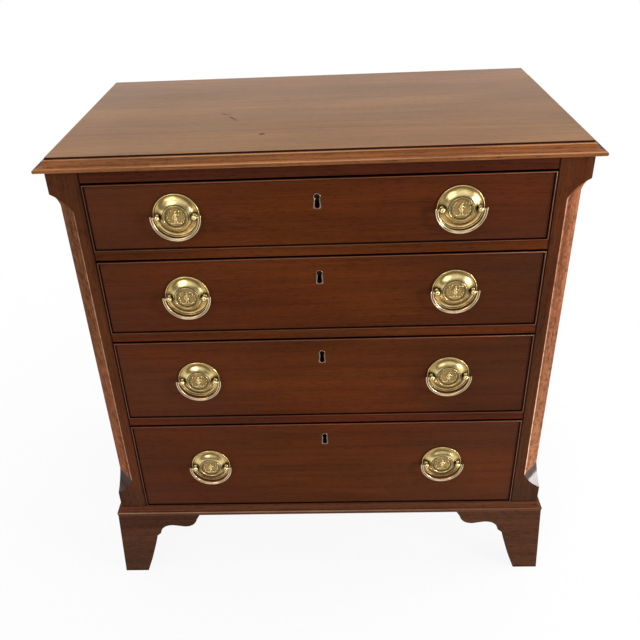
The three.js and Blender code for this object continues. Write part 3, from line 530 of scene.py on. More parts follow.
class Shape:
    """Points and faces of one piece, added part by part."""

    def __init__(self):
        self.points = []
        self.faces = []
        self.finishes = []

    def face(self, corners, finish=0):
        start = len(self.points)
        self.points.extend(corners)
        self.faces.append(tuple(range(start, start + len(corners))))
        self.finishes.append(finish)

    def grid(self, rows, close_rows=False, close_columns=False, finish=0):
        """Joins rows of equally many points into quads; finish is a slot or a rule of row and column."""
        start = len(self.points)
        width = len(rows[0])
        for row in rows:
            self.points.extend(row)
        for r in range(len(rows) if close_rows else len(rows) - 1):
            for c in range(width if close_columns else width - 1):
                near, far = r * width, (r + 1) % len(rows) * width
                beside = (c + 1) % width
                corners = (near + c, near + beside, far + beside, far + c)
                self.faces.append(tuple(start + corner for corner in corners))
                self.finishes.append(finish(r, c) if callable(finish) else finish)

    def tube(self, rows, finish=0):
        """Rows closed all round, with a face at both ends."""
        self.grid(rows, close_columns=True, finish=finish)
        self.face(rows[0])
        self.face(rows[-1])

    def mesh(self, name, materials, sharp):
        mesh = bpy.data.meshes.new(name)
        mesh.from_pydata([tuple(point) for point in self.points], [], self.faces)
        for material in materials:
            mesh.materials.append(material)
        mesh.polygons.foreach_set("material_index", self.finishes)
        tidy = bmesh.new()
        tidy.from_mesh(mesh)
        bmesh.ops.remove_doubles(tidy, verts=tidy.verts, dist=0.004 * MM)
        bmesh.ops.dissolve_degenerate(tidy, edges=tidy.edges, dist=0.002 * MM)
        bmesh.ops.recalc_face_normals(tidy, faces=tidy.faces)
        tidy.to_mesh(mesh)
        tidy.free()
        mesh.shade_smooth()
        mesh.set_sharp_from_angle(angle=math.radians(sharp))
        return mesh

    def piece(self, name, materials, slot, body, replaced=(), sharp=32, bevel=0):
        place_piece(name, self.mesh(name, materials, sharp), body, replaced, bevel=bevel)

    def dressed(self, node, materials, slot="mahogany", body="carcass", **how):
        """The finer piece that stands for a CAD node."""
        self.piece(node + "_dressed", materials, slot, body, [node], **how)


def place_piece(name, mesh, body, replaced=(), place=(0, 0, 0), bevel=0):
    made = bpy.data.objects.new(name, mesh)
    made.location = place
    link(made)
    if bevel:
        soften(made, bevel)
    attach(made, body)
    if replaced:
        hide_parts(*replaced)


def soften(thing, width):
    """Rounds the sharp edges of a piece a little, as planing and years of use do."""
    bevel = thing.modifiers.new("rounded_edges", "BEVEL")
    bevel.width = width
    bevel.segments = 2
    bevel.limit_method = "ANGLE"
    bevel.angle_limit = math.radians(28)
    bevel.use_clamp_overlap = True
    bevel.harden_normals = True


def circle(count):
    """Angles of evenly spaced points once round."""
    return [2 * math.pi * i / count for i in range(count)]


def ring_of(centre, radius, axis_a, axis_b, count):
    return [centre + radius * (math.cos(angle) * axis_a + math.sin(angle) * axis_b)
            for angle in circle(count)]


def arc(start, control, end, steps):
    """Points of a quadratic bend between two points of an outline, without its start."""
    points = []
    for i in range(1, steps + 1):
        t = i / steps
        points.append(tuple(
            (1 - t) ** 2 * a + 2 * t * (1 - t) * b + t * t * c for a, b, c in zip(start, control, end)
        ))
    return points


# Carcass wood that keeps the frame's own shape

def dress(name, material, width=0.5 * MM):
    """Gives a CAD node its finish and slightly rounded edges."""
    node = nodes[name]
    node.data.materials.clear()
    node.data.materials.append(material)
    node.data.shade_flat()
    weld = node.modifiers.new("welded", "WELD")
    weld.merge_threshold = 0.002 * MM
    soften(node, width)


for side, _ in SIDES:
    dress(f"side_panel_{side}", timber("side", "z"))
dress("top_rail", timber("rail", "x"))
for number in (1, 2, 3):
    dress(f"divider_{number}", timber("low_divider" if number == 3 else "divider", "x"), 0.8 * MM)
dress("bottom_board", timber("divider", "x"))
dress("back_panel", timber("pine", "x"), 0.6 * MM)
for number in DRAWERS:
    drawer = f"drawer_{number}"
    dress(drawer + "_front", timber("middle_front" if number in (2, 3) else "front", "x"))
    dress(drawer + "_box", timber("oak", "y"))
    dress(drawer + "_bottom", timber("oak", "x"))
    dress(drawer + "_lock", lock_brass, 0.3 * MM)
    dress(drawer + "_lock_bolt", steel, 0.3 * MM)


# Top board: flat, quirk, cove and rounded nose on three edges

FLAT_INSET = 3.2 * MM
QUIRK_DEPTH = 3.1 * MM
QUIRK_LEDGE = 2.2 * MM
COVE_FILLET = 1.6 * MM
CURVE_STEPS = 12


def run_corners(outline):
    """Runs an outline of [out, height] round the front and both ends of the carcass, mitred."""
    corners = ((-1, False), (-1, True), (1, True), (1, False))
    return [[Vector((end * (CARCASS_HALF + out), FACE - out if in_front else BACK, z)) for out, z in outline]
            for end, in_front in corners]


def end_grain(row, _column):
    """The finish of a run's ends is the second one, and of its front the first."""
    return 0 if row == 1 else 1


def make_top():
    fillet_top = NOSE_TOP + COVE_FILLET
    quirk = top_high.z - QUIRK_DEPTH
    nose_middle = top_low.z + NOSE_HEIGHT / 2
    nose_start = OVERHANG - NOSE_HEIGHT / 2
    cove_end = nose_start - COVE_FILLET / 2
    ledge = QUIRK_LEDGE - FLAT_INSET
    cove_bend = ledge + QUIRK_LEDGE / 2
    outline = [(-FLAT_INSET, top_high.z), (-FLAT_INSET, quirk), (ledge, quirk)]
    outline += arc((ledge, quirk), (cove_bend, fillet_top), (cove_end, fillet_top), CURVE_STEPS)
    outline += [(cove_end, NOSE_TOP), (nose_start, NOSE_TOP)]
    outline += arc((nose_start, NOSE_TOP), (OVERHANG, NOSE_TOP), (OVERHANG, nose_middle), CURVE_STEPS)
    outline += arc((OVERHANG, nose_middle), (OVERHANG, top_low.z), (nose_start, top_low.z), CURVE_STEPS)
    shape = Shape()
    rows = run_corners(outline)
    shape.grid(rows, finish=lambda row, column: 3 if column == 0 else end_grain(row, column))
    shape.face([row[0] for row in rows], 2)
    shape.face([row[-1] for row in rows], 0)
    shape.face(rows[0] + rows[-1][::-1], 0)
    finishes = [timber("edge", "x"), timber("edge_end", "y"), top_wood, timber("quirk", "x")]
    shape.dressed("top_board", finishes, "mahogany_top", bevel=0.35 * MM)


make_top()


# Base moulding: lip, cove, bead and fascia

LIP = 1.4 * MM
BEAD_PROJECTION = 8.4 * MM
BEAD_HEIGHT = 4.6 * MM
FASCIA_HEIGHT = 4 * MM
FASCIA_PROJECTION = 7.6 * MM
FASCIA_SHADOW = 0.25 * MM
MOULDING_BACK = 0.25 * MM
COVE_RADIUS = 1.4 * MM


def make_base_moulding():
    bottom, top = moulding_low.z, moulding_high.z
    fascia_top = bottom + FASCIA_HEIGHT
    bead_top = fascia_top + BEAD_HEIGHT
    bead_middle = fascia_top + BEAD_HEIGHT / 2
    bead_start = BEAD_PROJECTION - BEAD_HEIGHT / 2
    nose = (BEAD_PROJECTION, bead_middle)
    outline = [(MOULDING_BACK, bottom), (MOULDING_BACK, top), (LIP, top), (LIP, top - LIP)]
    outline += arc((LIP, top - LIP), (LIP + COVE_RADIUS, bead_top), (bead_start, bead_top), CURVE_STEPS)
    outline += arc((bead_start, bead_top), (BEAD_PROJECTION, bead_top), nose, CURVE_STEPS)
    outline += arc(nose, (BEAD_PROJECTION, fascia_top), (bead_start, fascia_top), CURVE_STEPS)
    outline += [(FASCIA_PROJECTION, fascia_top - FASCIA_SHADOW), (FASCIA_PROJECTION, bottom)]
    shape = Shape()
    rows = run_corners(outline + outline[:1])
    shape.grid(rows, finish=end_grain)
    shape.face(rows[0][:-1], 0)
    shape.face(rows[-1][:-1], 0)
    finishes = [timber("moulding", "x"), timber("moulding", "y")]
    shape.dressed("base_moulding", finishes, bevel=0.3 * MM)


make_base_moulding()


# Corner posts: square at both ends, canted between two curved stops

CANT_DEPTH = 33 * MM
CANT_BLOCK = 35 * MM
CANT_STOP = 30 * MM
STOP_BEND_SHARES = (0.34, 0.66)
STOP_STEPS = 14


def cant_levels(low, high):
    """Pairs of height and cut depth, as a share of the full cant, up the length of a post."""
    rise, depth = STOP_BEND_SHARES
    opening_floor = moulding_high.z
    lower, upper = opening_floor + CANT_BLOCK, high - CANT_BLOCK
    stop = [(0, 0)] + arc((0, 0), (rise, depth), (1, 1), STOP_STEPS)
    levels = [(low, 0)]
    levels += [(lower + CANT_STOP * z, share) for z, share in stop]
    levels += [(upper - CANT_STOP * z, share) for z, share in reversed(stop)]
    levels += [(high, 0)]
    return levels


def make_post(side, sign):
    shape = Shape()
    rows = []
    for z, share in cant_levels(post_low.z, post_high.z):
        cut = max(share, 0.004)
        corners = [
            (OPENING_HALF, FACE), (CARCASS_HALF - CANT_WIDTH * cut, FACE),
            (CARCASS_HALF, FACE + CANT_DEPTH * cut), (CARCASS_HALF, FACE + POST_DEPTH),
            (OPENING_HALF, FACE + POST_DEPTH),
        ]
        rows.append([Vector((sign * x, y, z)) for x, y in corners])

    def finish(row, column):
        if column != 1:
            return 0
        return 2 if row < len(rows) // 2 - 1 else 1

    shape.tube(rows, finish)
    stop = "left_stop" if side == "left" else "stop"
    finishes = [timber("post", "z"), timber("cant", "z"), timber(stop, "z")]
    shape.dressed(f"corner_post_{side}", finishes, sharp=25, bevel=0.4 * MM)


for side, sign in SIDES:
    make_post(side, sign)


# Bracket feet: two boards mitred at the corner, leaning out to the floor, with a glue block inside

FOOT_WIDTH = 153 * MM
FOOT_HEIGHT = 143.5 * MM
FOOT_SPLAY = 6.6 * MM
FOOT_TOP_PROJECTION = 7.6 * MM
FOOT_BOARD = 20 * MM
BLOCK_WIDTH = 21 * MM
BLOCK_SINK = 1 * MM
BLOCK_RAISE = 1 * MM
FOOT_SHARES = {
    "toe": (0.245, 0), "ankle": (0.29, 0.13), "shin_bend": (0.375, 0.37), "shin": (0.425, 0.63),
    "shelf": (0.487, 0.685), "cove_bend": (0.51, 0.83), "cove_end": (0.66, 0.825), "swell": (0.8, 0.8),
    "swell_bend": (0.925, 0.8), "tip_bend": (0.955, 0.92), "tip": (1, 1),
}


def foot_point(key):
    across, up = FOOT_SHARES[key]
    return (across * FOOT_WIDTH, up * FOOT_HEIGHT)


def foot_outline():
    outline = [(0, FOOT_HEIGHT), (0, 0), foot_point("toe"), foot_point("ankle")]
    outline += arc(foot_point("ankle"), foot_point("shin_bend"), foot_point("shin"), CURVE_STEPS)
    outline += [foot_point("shelf")]
    outline += arc(foot_point("shelf"), foot_point("cove_bend"), foot_point("cove_end"), CURVE_STEPS)
    outline += [foot_point("swell")]
    outline += arc(foot_point("swell"), foot_point("swell_bend"), foot_point("tip_bend"), CURVE_STEPS)
    outline += [foot_point("tip")]
    return outline


def lean(z):
    return -FOOT_TOP_PROJECTION - FOOT_SPLAY * (1 - z / FOOT_HEIGHT)


def foot_board(shape, corner_at, mitred, place, finish):
    """One leaning board. A mitred one is cut back inside, and is open where the other board joins it."""
    top = corner_at(FOOT_HEIGHT)
    outer, inner = [], []
    for along, z in foot_outline():
        reach = corner_at(z) if along == 0 else along + top
        outer.append(place(reach, lean(z), z))
        inner.append(place(reach + (FOOT_BOARD if mitred and along == 0 else 0), lean(z) + FOOT_BOARD, z))
    shape.face(outer, finish)
    shape.face(inner[::-1], finish)
    shape.grid([outer[1:] + outer[:1], inner[1:] + inner[:1]], close_columns=not mitred, finish=2)


def foot_box(shape, outline, rules):
    """A plain block of wood between two copies of an outline, each placed by a rule of its own."""
    ends = [[rule(*corner) for corner in outline] for rule in rules]
    shape.face(ends[0])
    shape.face(ends[1])
    shape.grid(ends, close_columns=True)


def make_foot(end, side, sign):
    rear = end == "rear"
    shape = Shape()

    def place(in_x, in_y, z):
        return Vector((sign * (CARCASS_HALF - in_x), BACK - in_y if rear else FACE + in_y, z))

    def turned(along, across, z):
        return place(across, along, z)

    if rear:
        foot_board(shape, lambda z: 0, False, turned, 1)
        width = FOOT_WIDTH * FOOT_SHARES["shin"][0] - FOOT_SPLAY
        near, low = (FOOT_BOARD + lean(z) - BLOCK_SINK for z in (FOOT_HEIGHT, 0))
        foot_box(shape, [(near, FOOT_HEIGHT), (low, 0), (width, 0), (width, FOOT_HEIGHT)],
                 [lambda x, z: place(x, 0, z), lambda x, z: place(x, FOOT_BOARD, z)])
    else:
        foot_board(shape, lean, True, turned, 1)
        foot_board(shape, lean, True, place, 0)
    left = FOOT_BOARD + lean(0) - BLOCK_SINK
    front = FOOT_BOARD - BLOCK_SINK if rear else left
    right, back = left + BLOCK_WIDTH, front + BLOCK_WIDTH
    foot_box(shape, [(left, front), (right, front), (right, back), (left, back)],
             [lambda x, y: place(x, y, BLOCK_RAISE), lambda x, y: place(x, y, FOOT_HEIGHT)])
    finishes = [timber("foot", "x"), timber("foot", "y"), timber("foot_edge", "x")]
    shape.dressed(f"bracket_foot_{end}_{side}", finishes, sharp=25, bevel=0.9 * MM)


for end in ("front", "rear"):
    for side, sign in SIDES:
        make_foot(end, side, sign)


# Cock beads: four mitred strips with a round front

BEAD_THICKNESS = 3 * MM
BEAD_STEPS = 7
BEAD_LIGHT_STEPS = (2, 3, 4)


def make_cock_bead(drawer):
    low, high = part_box(drawer + "_cock_bead")
    radius = BEAD_THICKNESS / 2
    outline = [(0.0, high.y)]
    for i in range(BEAD_STEPS + 1):
        angle = math.pi * i / BEAD_STEPS
        outline.append((radius - radius * math.cos(angle), low.y + radius - radius * math.sin(angle)))
    outline.append((BEAD_THICKNESS, high.y))
    left, right, bottom, top = (low.x, 1), (high.x, -1), (low.z, 1), (high.z, -1)
    corners = ((left, bottom), (right, bottom), (right, top), (left, top))
    rows = [[Vector((x + in_x * inset, y, z + in_z * inset)) for inset, y in outline]
            for (x, in_x), (z, in_z) in corners]
    shape = Shape()
    # Painted shade: only part of the round front keeps the bead's wood, the rest is near black
    shape.grid(rows, close_rows=True, close_columns=True,
               finish=lambda row, column: row % 2 if column in BEAD_LIGHT_STEPS else 2)
    finishes = [timber("bead", "x"), timber("bead", "z"), timber("bead_shade", "x")]
    shape.dressed(drawer + "_cock_bead", finishes, "mahogany_bead", drawer, sharp=40)


# Keyhole linings: a thin brass wall that follows the keyhole

KEY_HEAD = 5.35 * MM
KEY_WAIST = 4.6 * MM
KEY_FOOT = 5.8 * MM
KEY_DROP = 17.5 * MM
KEY_BULGE = 4 * MM
KEY_WALL = 1.3 * MM
KEY_LIP = 0.3 * MM
KEY_STEPS = 28


def keyhole_points(inset):
    head, waist = KEY_HEAD - inset, KEY_WAIST - 1.4 * inset
    foot, drop = KEY_FOOT - 1.5 * inset, KEY_DROP - 2 * inset
    turn = math.acos(waist / head)
    points = []
    for i in range(KEY_STEPS + 1):
        angle = -turn + (math.pi + 2 * turn) * i / KEY_STEPS
        points.append((head * math.cos(angle), head * math.sin(angle)))
    points.append((-foot, -drop))
    points += arc((-foot, -drop), (0, -drop - KEY_BULGE - 2 * inset), (foot, -drop), CURVE_STEPS)
    return points


def make_escutcheon(drawer):
    low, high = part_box(drawer + "_escutcheon")
    centre = Vector((0, 0, high.z - KEY_HEAD))
    rim = low.y + KEY_LIP
    stages = ((0, high.y), (0, rim), (KEY_LIP, low.y), (KEY_WALL - KEY_LIP, low.y), (KEY_WALL, rim),
              (KEY_WALL, high.y))
    rows = [[centre + Vector((x, y, z)) for x, z in keyhole_points(inset)] for inset, y in stages]
    shape = Shape()
    shape.grid(rows, close_rows=True, close_columns=True)
    shape.dressed(drawer + "_escutcheon", [key_brass], "brass", drawer, sharp=50)


# Handles. Points are worked out in millimetres round the middle of a plate: across, in front, up.

ROUND_STEPS = 144
FIELD_RINGS = 44
AXIS_GAP = 0.01
PLATE_SINK = 0.4
PLATE_RADIUS = 34.0
SLOPE_MIDDLE = (25.9, 4.0)
RING_HEIGHT = 9.2
BALL_RADIUS = 4.4
BAIL_WIDTH = 4.8
BAIL_THICKNESS = 3.5
EAR_LENGTH = 2.4
EAR_LEAN = -0.3
EAR_WIDTH_SHARE = 0.25
EAR_THICKNESS_SHARE = 0.4
BAIL_STEPS = 96
EAR_STEPS = 8
BAIL_GROOVE = 1.1
RUBBED_DEGREES = 34
RELIEF_RISE = 1.25
PIN_RADIUS = 1.5
PIN_END = 29.1
PIN_CHAMFER = 0.3

# The motif's lines (start, end, radius, height) and ovals (centre, radii, height)
MOTIF_LINES = (
    ((-7.6, -9.6), (7.6, -9.6), 0.6, 0.8), ((-1.4, -8.0), (-0.8, -2.0), 1.2, 1.4),
    ((1.8, -8.0), (1.1, -2.0), 1.2, 1.4), ((1.9, 5.2), (4.8, 2.6), 0.95, 1.3),
    ((4.8, 2.6), (6.0, 6.2), 0.85, 1.2), ((-1.9, 5.2), (-4.1, 1.2), 0.95, 1.3),
    ((-4.1, 1.2), (-2.6, -2.2), 0.85, 1.2),
)
MOTIF_OVALS = (
    ((-2.3, -8.6), (2.0, 1.1), 1.4), ((2.5, -8.6), (2.0, 1.1), 1.4), ((0.1, -1.6), (3.2, 3.0), 1.7),
    ((0.0, 2.8), (2.5, 4.2), 1.9), ((0.2, 8.6), (1.6, 1.9), 1.7),
)

# The motif's sprays: leaves that lie in turn inside and outside a circle, each turned from it
SPRAY_RADIUS = 12.2
LEAVES = 9
LEAF_START = -50
LEAF_PITCH = 13.5
LEAF_SHIFT = 0.9
LEAF_TURN = 0.5
LEAF_RADII = (2.0, 0.8)
LEAF_HEIGHT = 1.1


def plate_profile():
    """Radius and height of the spun plate from its rim to the edge of the medallion's field."""
    rim = [(PLATE_RADIUS, 0.0), (PLATE_RADIUS, 0.8)]
    rim += arc((PLATE_RADIUS, 0.8), (PLATE_RADIUS, 2.2), (33.1, 2.2), 5)
    rim += arc((33.1, 2.2), (32.3, 2.2), (32.2, 1.3), 5)
    rim += [(31.6, 1.2)]
    slope = arc((31.6, 1.2), (28.6, 2.0), SLOPE_MIDDLE, 9)
    slope += arc(SLOPE_MIDDLE, (22.2, 7.1), (19.3, 8.0), 9)
    ring = [(18.9, 7.6), (18.5, 7.6)]
    ring += arc((18.5, 7.6), (18.4, RING_HEIGHT), (17.8, RING_HEIGHT), 4)
    ring += arc((17.8, RING_HEIGHT), (17.1, RING_HEIGHT), (16.9, 7.9), 4)
    ring += [(16.3, 7.7)]
    ring += arc((16.3, 7.7), (16.2, 8.5), (15.8, 8.5), 3)
    ring += arc((15.8, 8.5), (15.3, 8.5), (FIELD_RADIUS, FIELD_HEIGHT), 4)
    return rim + slope + ring


def bump_round(x, z, centre, radii, height, turn=0.0):
    """Height of a smooth oval swelling at a point of the field."""
    dx, dz = x - centre[0], z - centre[1]
    a = (dx * math.cos(turn) + dz * math.sin(turn)) / radii[0]
    b = (-dx * math.sin(turn) + dz * math.cos(turn)) / radii[1]
    return height * math.sqrt(max(0.0, 1 - a * a - b * b))


def bump_line(x, z, start, end, radius, height):
    """Height of a smooth raised line between two points of the field."""
    dx, dz = end[0] - start[0], end[1] - start[1]
    share = max(0.0, min(1.0, ((x - start[0]) * dx + (z - start[1]) * dz) / (dx * dx + dz * dz)))
    distance = math.hypot(x - start[0] - share * dx, z - start[1] - share * dz) / radius
    return height * math.sqrt(max(0.0, 1 - distance * distance))


def relief(x, z):
    """A small draped figure on a line of ground, between two laurel sprays: a common kind of cast motif."""
    parts = [bump_line(x, z, *line) for line in MOTIF_LINES]
    parts += [bump_round(x, z, *oval) for oval in MOTIF_OVALS]
    for side in ENDS:
        for i in range(LEAVES):
            angle = math.radians(LEAF_START + LEAF_PITCH * i)
            outward = 1 if i % 2 else -1
            reach = SPRAY_RADIUS + outward * LEAF_SHIFT
            turn = angle + math.pi / 2 + outward * LEAF_TURN
            if side < 0:
                turn = math.pi - turn
            centre = (side * reach * math.cos(angle), reach * math.sin(angle))
            parts.append(bump_round(x, z, centre, LEAF_RADII, LEAF_HEIGHT, turn))
    return max(parts)


def spin_rows(profile, steps, x=0.0):
    """Rows of points round an axis that runs to the front at x, in metres."""
    return [[Vector((x + radius * math.cos(angle), -height, radius * math.sin(angle))) * MM
             for angle in circle(steps)] for radius, height in profile]


def post_profile():
    """Radius and distance in front of the face, from the nut inside the drawer to the tip of the ball."""
    outline = [(AXIS_GAP, -24.2), (2.4, -24.2), (2.4, -23.9), (5.6, -23.9), (6.0, -23.5), (6.0, -20.6),
               (5.6, -20.25), (2.4, -20.25), (2.4, 0.2)]
    outline += [(3.7, 0.6), (3.7, 3.6)]
    outline += arc((3.7, 3.6), (3.7, 4.4), (2.8, 4.8), 4)
    outline += arc((2.8, 4.8), (2.5, 5.4), (3.1, 5.9), 4)
    for i in range(1, 15):
        angle = math.radians(-48 + i * 9.4)
        outline.append((BALL_RADIUS * math.cos(angle), 9.5 + BALL_RADIUS * math.sin(angle)))
    outline += [(1.5, 13.6), (1.4, 14.0)]
    outline += arc((1.4, 14.0), (1.3, 15.15), (AXIS_GAP, 15.15), 5)
    return outline


def make_plate_mesh():
    shape = Shape()
    profile = [(radius, height - PLATE_SINK) for radius, height in plate_profile()]
    shape.grid(spin_rows([(AXIS_GAP, -PLATE_SINK)] + profile, ROUND_STEPS), close_columns=True)
    field = []
    for i in range(FIELD_RINGS + 1):
        radius = FIELD_RADIUS * (1 - i / FIELD_RINGS) + AXIS_GAP
        row = []
        for angle in circle(ROUND_STEPS):
            x, z = radius * math.cos(angle), radius * math.sin(angle)
            row.append(Vector((x, -(FIELD_HEIGHT - PLATE_SINK + RELIEF_RISE * relief(x, z)), z)) * MM)
        field.append(row)
    shape.grid(field, close_columns=True)
    for end in ENDS:
        shape.grid(spin_rows(post_profile(), 32, end * PIVOT_HALF), close_columns=True, finish=1)
    return shape.mesh("handle_plate_pattern", [plate_brass, post_brass], 38)


def bail_section(width, thickness, groove):
    """Outline of the bail's section: across the ring and to the front, with a groove between two reeds."""
    points = []
    for angle in circle(32):
        across = width / 2 * math.copysign(abs(math.cos(angle)) ** 0.8, math.cos(angle))
        front = thickness / 2 * math.copysign(abs(math.sin(angle)) ** 0.7, math.sin(angle))
        if front > 0:
            front -= groove * math.exp(-(across / (width * 0.15)) ** 2)
        points.append((across, front))
    return points


def bail_stations():
    """Angle round the bail and share of its full section, from one pointed ear to the other."""
    ear_angle = math.degrees(EAR_LENGTH / BAIL_RADIUS)
    rise = [i / EAR_STEPS for i in range(EAR_STEPS)]
    stations = [(-180 - ear_angle * (1 - share), share) for share in rise]
    stations += [(-180 + 180 * i / BAIL_STEPS, 1) for i in range(BAIL_STEPS + 1)]
    stations += [(ear_angle * (1 - share), share) for share in reversed(rise)]
    return stations


def make_bail_mesh():
    shape = Shape()
    rows = []
    for degrees, full in bail_stations():
        angle = math.radians(degrees)
        lowest = math.exp(-((degrees + 90) / RUBBED_DEGREES) ** 2)
        width = BAIL_WIDTH * (EAR_WIDTH_SHARE + (1 - EAR_WIDTH_SHARE) * full)
        thickness = BAIL_THICKNESS * (EAR_THICKNESS_SHARE + (1 - EAR_THICKNESS_SHARE) * full)
        flare = (BAIL_WIDTH - width) / 2 + EAR_LEAN * (1 - full)
        outward = Vector((math.cos(angle), 0, math.sin(angle)))
        row = []
        for across, front in bail_section(width, thickness, BAIL_GROOVE * (1 - lowest) * full):
            row.append((outward * (BAIL_RADIUS + flare + across) + Vector((0, -front, 0))) * MM)
        rows.append(row)
    shape.tube(rows)
    pin = ((BAIL_RADIUS, PIN_RADIUS), (PIN_END + PIN_CHAMFER, PIN_RADIUS),
           (PIN_END, PIN_RADIUS - PIN_CHAMFER))
    for end in ENDS:
        shape.tube([ring_of(Vector((end * reach, 0, 0)) * MM, radius * MM, BACKWARD, UP, 20)
                    for reach, radius in pin])
    return shape.mesh("bail_pattern", [bail_brass], 45)


plate_mesh = make_plate_mesh()
bail_mesh = make_bail_mesh()


def make_handles(drawer):
    for side, sign in SIDES:
        plate = f"{drawer}_handle_{side}_plate"
        bail = f"{drawer}_handle_{side}_bail"
        low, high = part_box(plate)
        middle = Vector(((low.x + high.x) / 2, FACE, (low.z + high.z) / 2))
        place_piece(plate + "_dressed", plate_mesh, drawer, [plate], middle)
        bail_low, bail_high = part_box(bail)
        pivot = Vector((middle.x, (bail_low.y + bail_high.y) / 2, middle.z))
        place_piece(bail + "_dressed", bail_mesh, bail, [bail], pivot)


for number in DRAWERS:
    make_cock_bead(f"drawer_{number}")
    make_escutcheon(f"drawer_{number}")
    make_handles(f"drawer_{number}")


# Screws of the locks, and nails of the back boards

SCREW_RADIUS = 3 * MM
SCREW_INSET = 6.5 * MM
SCREW_RISE = 0.7 * MM
SCREW_SINK = 0.5 * MM
SLOT_HALF = 0.5 * MM
SLOT_RISE_SHARE = 0.15
NAIL_RADIUS = 2.6 * MM
NAIL_RISE = 0.5 * MM
NAIL_INSET = 14 * MM
BACK_BOARDS = 5


def screw_head(shape, centre):
    """A low dome facing back, with a straight slot cut across it."""
    levels = ((1.0, 0.0), (0.97, 0.35), (0.8, 0.75), (0.5, 0.95), (0.2, 1.0), (0.003, 1.0))
    rows = []
    for radius_share, rise_share in levels:
        row = []
        for angle in circle(32):
            x = SCREW_RADIUS * radius_share * math.cos(angle)
            z = SCREW_RADIUS * radius_share * math.sin(angle)
            rise = SCREW_RISE * rise_share * (SLOT_RISE_SHARE if abs(z) < SLOT_HALF else 1)
            row.append(centre + Vector((x, rise, z)))
        rows.append(row)
    shape.grid(rows, close_columns=True)
    base = [point - SCREW_SINK * BACKWARD for point in rows[0]]
    shape.face(base)
    shape.grid([base, rows[0]], close_columns=True)


def make_lock_screws(drawer):
    low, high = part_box(drawer + "_lock")
    shape = Shape()
    for x in (low.x + SCREW_INSET, high.x - SCREW_INSET):
        for z in (low.z + SCREW_INSET, high.z - SCREW_INSET):
            screw_head(shape, Vector((x, high.y, z)))
    shape.piece(drawer + "_lock_screws", [steel], "steel", drawer, sharp=40)


def make_back_nails():
    """Two flat nail heads at each end of each back board."""
    height = (back_high.z - back_low.z) / BACK_BOARDS
    levels = ((NAIL_RADIUS, -NAIL_RISE), (NAIL_RADIUS, 0.6 * NAIL_RISE), (0.8 * NAIL_RADIUS, NAIL_RISE))
    shape = Shape()
    for board in range(BACK_BOARDS):
        for share in (0.25, 0.75):
            z = back_low.z + height * (board + share)
            for x in (back_low.x + NAIL_INSET, back_high.x - NAIL_INSET):
                centre = Vector((x, back_high.y, z))
                shape.tube([ring_of(centre + rise * BACKWARD, radius, ACROSS, UP, 16)
                            for radius, rise in levels])
    shape.piece("back_board_nails", [steel], "steel", "carcass", sharp=40)


for number in DRAWERS:
    make_lock_screws(f"drawer_{number}")
make_back_nails()


# Room: pale floor, white surroundings and soft lamps

FLOOR_HALF = 40.0
NEAR_FLOOR = 0.45
FAR_FLOOR = 1.5
LAMP_TARGET = Vector((0, 0, 0.45))
LAMPS = (
    ("lamp_front", (-1.3, -2.3, 2.3), 1.4, 20),
    ("lamp_right", (2.4, -1.4, 1.0), 0.6, 36),
    ("lamp_window", (2.4, 0.05, 0.62), 1.15, 54),
    ("lamp_left", (-2.4, 0.4, 0.9), 1.15, 16),
    ("lamp_above", (0.3, 0.2, 3.0), 2.4, 24),
)


def seen_directly(graph):
    """One for rays that show a background: the camera's own, mirrored and let through."""
    path = graph.node("LightPath")
    mirrored = graph.sums("MAXIMUM", path.outputs["Is Camera Ray"], path.outputs["Is Glossy Ray"])
    return graph.sums("MAXIMUM", mirrored, path.outputs["Is Transmission Ray"])


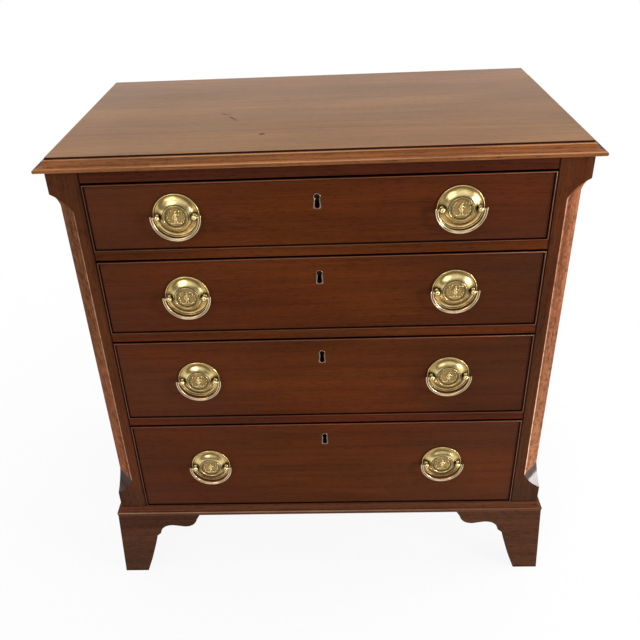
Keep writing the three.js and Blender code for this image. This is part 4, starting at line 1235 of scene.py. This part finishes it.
def make_floor():
    mesh = bpy.data.meshes.new("floor")
    corners = [(x * FLOOR_HALF, y * FLOOR_HALF, 0) for x, y in ((-1, -1), (1, -1), (1, 1), (-1, 1))]
    mesh.from_pydata(corners, [], [(0, 1, 2, 3)])
    thing = bpy.data.objects.new("floor", mesh)
    link(thing)
    material = bpy.data.materials.new("floor")
    graph = Graph(material)
    distance = graph.vectors("LENGTH", graph.node("TexCoord").outputs["Object"], output="Value")
    whiteness = graph.ramp(distance, NEAR_FLOOR, FAR_FLOOR, 0.9, 1.0)
    pale = graph.node("BsdfPrincipled", {
        "Base Color": (0.86, 0.86, 0.86, 1), "Roughness": 0.9, "Specular IOR Level": 0.1,
    })
    white = graph.node("Emission", {"Color": (1, 1, 1, 1), "Strength": 1.0})
    share = graph.product(seen_directly(graph), whiteness)
    mixed = graph.node("MixShader", {0: share, 1: pale.outputs[0], 2: white.outputs[0]})
    graph.node("OutputMaterial", {"Surface": mixed.outputs[0]})
    mesh.materials.append(material)


def make_lamps():
    for name, place, size, power in LAMPS:
        data = bpy.data.lights.new(name, "AREA")
        data.energy = power
        data.size = size
        lamp = bpy.data.objects.new(name, data)
        lamp.location = place
        aim = LAMP_TARGET - Vector(place)
        lamp.rotation_euler = aim.to_track_quat("-Z", "Y").to_euler()
        link(lamp)


def make_world():
    """White where it is seen, mirrored dimmer low in front and at the left, and grey as a light."""
    world = bpy.data.worlds.new("room")
    bpy.context.scene.world = world
    graph = Graph(world)
    direction = graph.node("TexCoord").outputs["Generated"]
    in_front = graph.ramp(graph.part(direction, "y"), 0.15, -0.35)
    at_left = graph.ramp(graph.part(direction, "x"), -0.45, -0.7)
    low = graph.ramp(graph.part(direction, "z"), 0.62, 0.3)
    room = graph.product(graph.sums("MAXIMUM", in_front, at_left), low)
    path = graph.node("LightPath")
    dim_share = graph.product(room, path.outputs["Is Glossy Ray"])
    white = graph.mix(dim_share, (1, 1, 1), (0.2, 0.18, 0.16))
    colour = graph.mix(seen_directly(graph), (0.34, 0.35, 0.36), white)
    shader = graph.node("Background", {"Color": colour, "Strength": 1.0})
    graph.node("OutputWorld", {"Surface": shader.outputs[0]})


make_floor()
make_lamps()
make_world()
bpy.context.scene.view_settings.view_transform = "Standard"
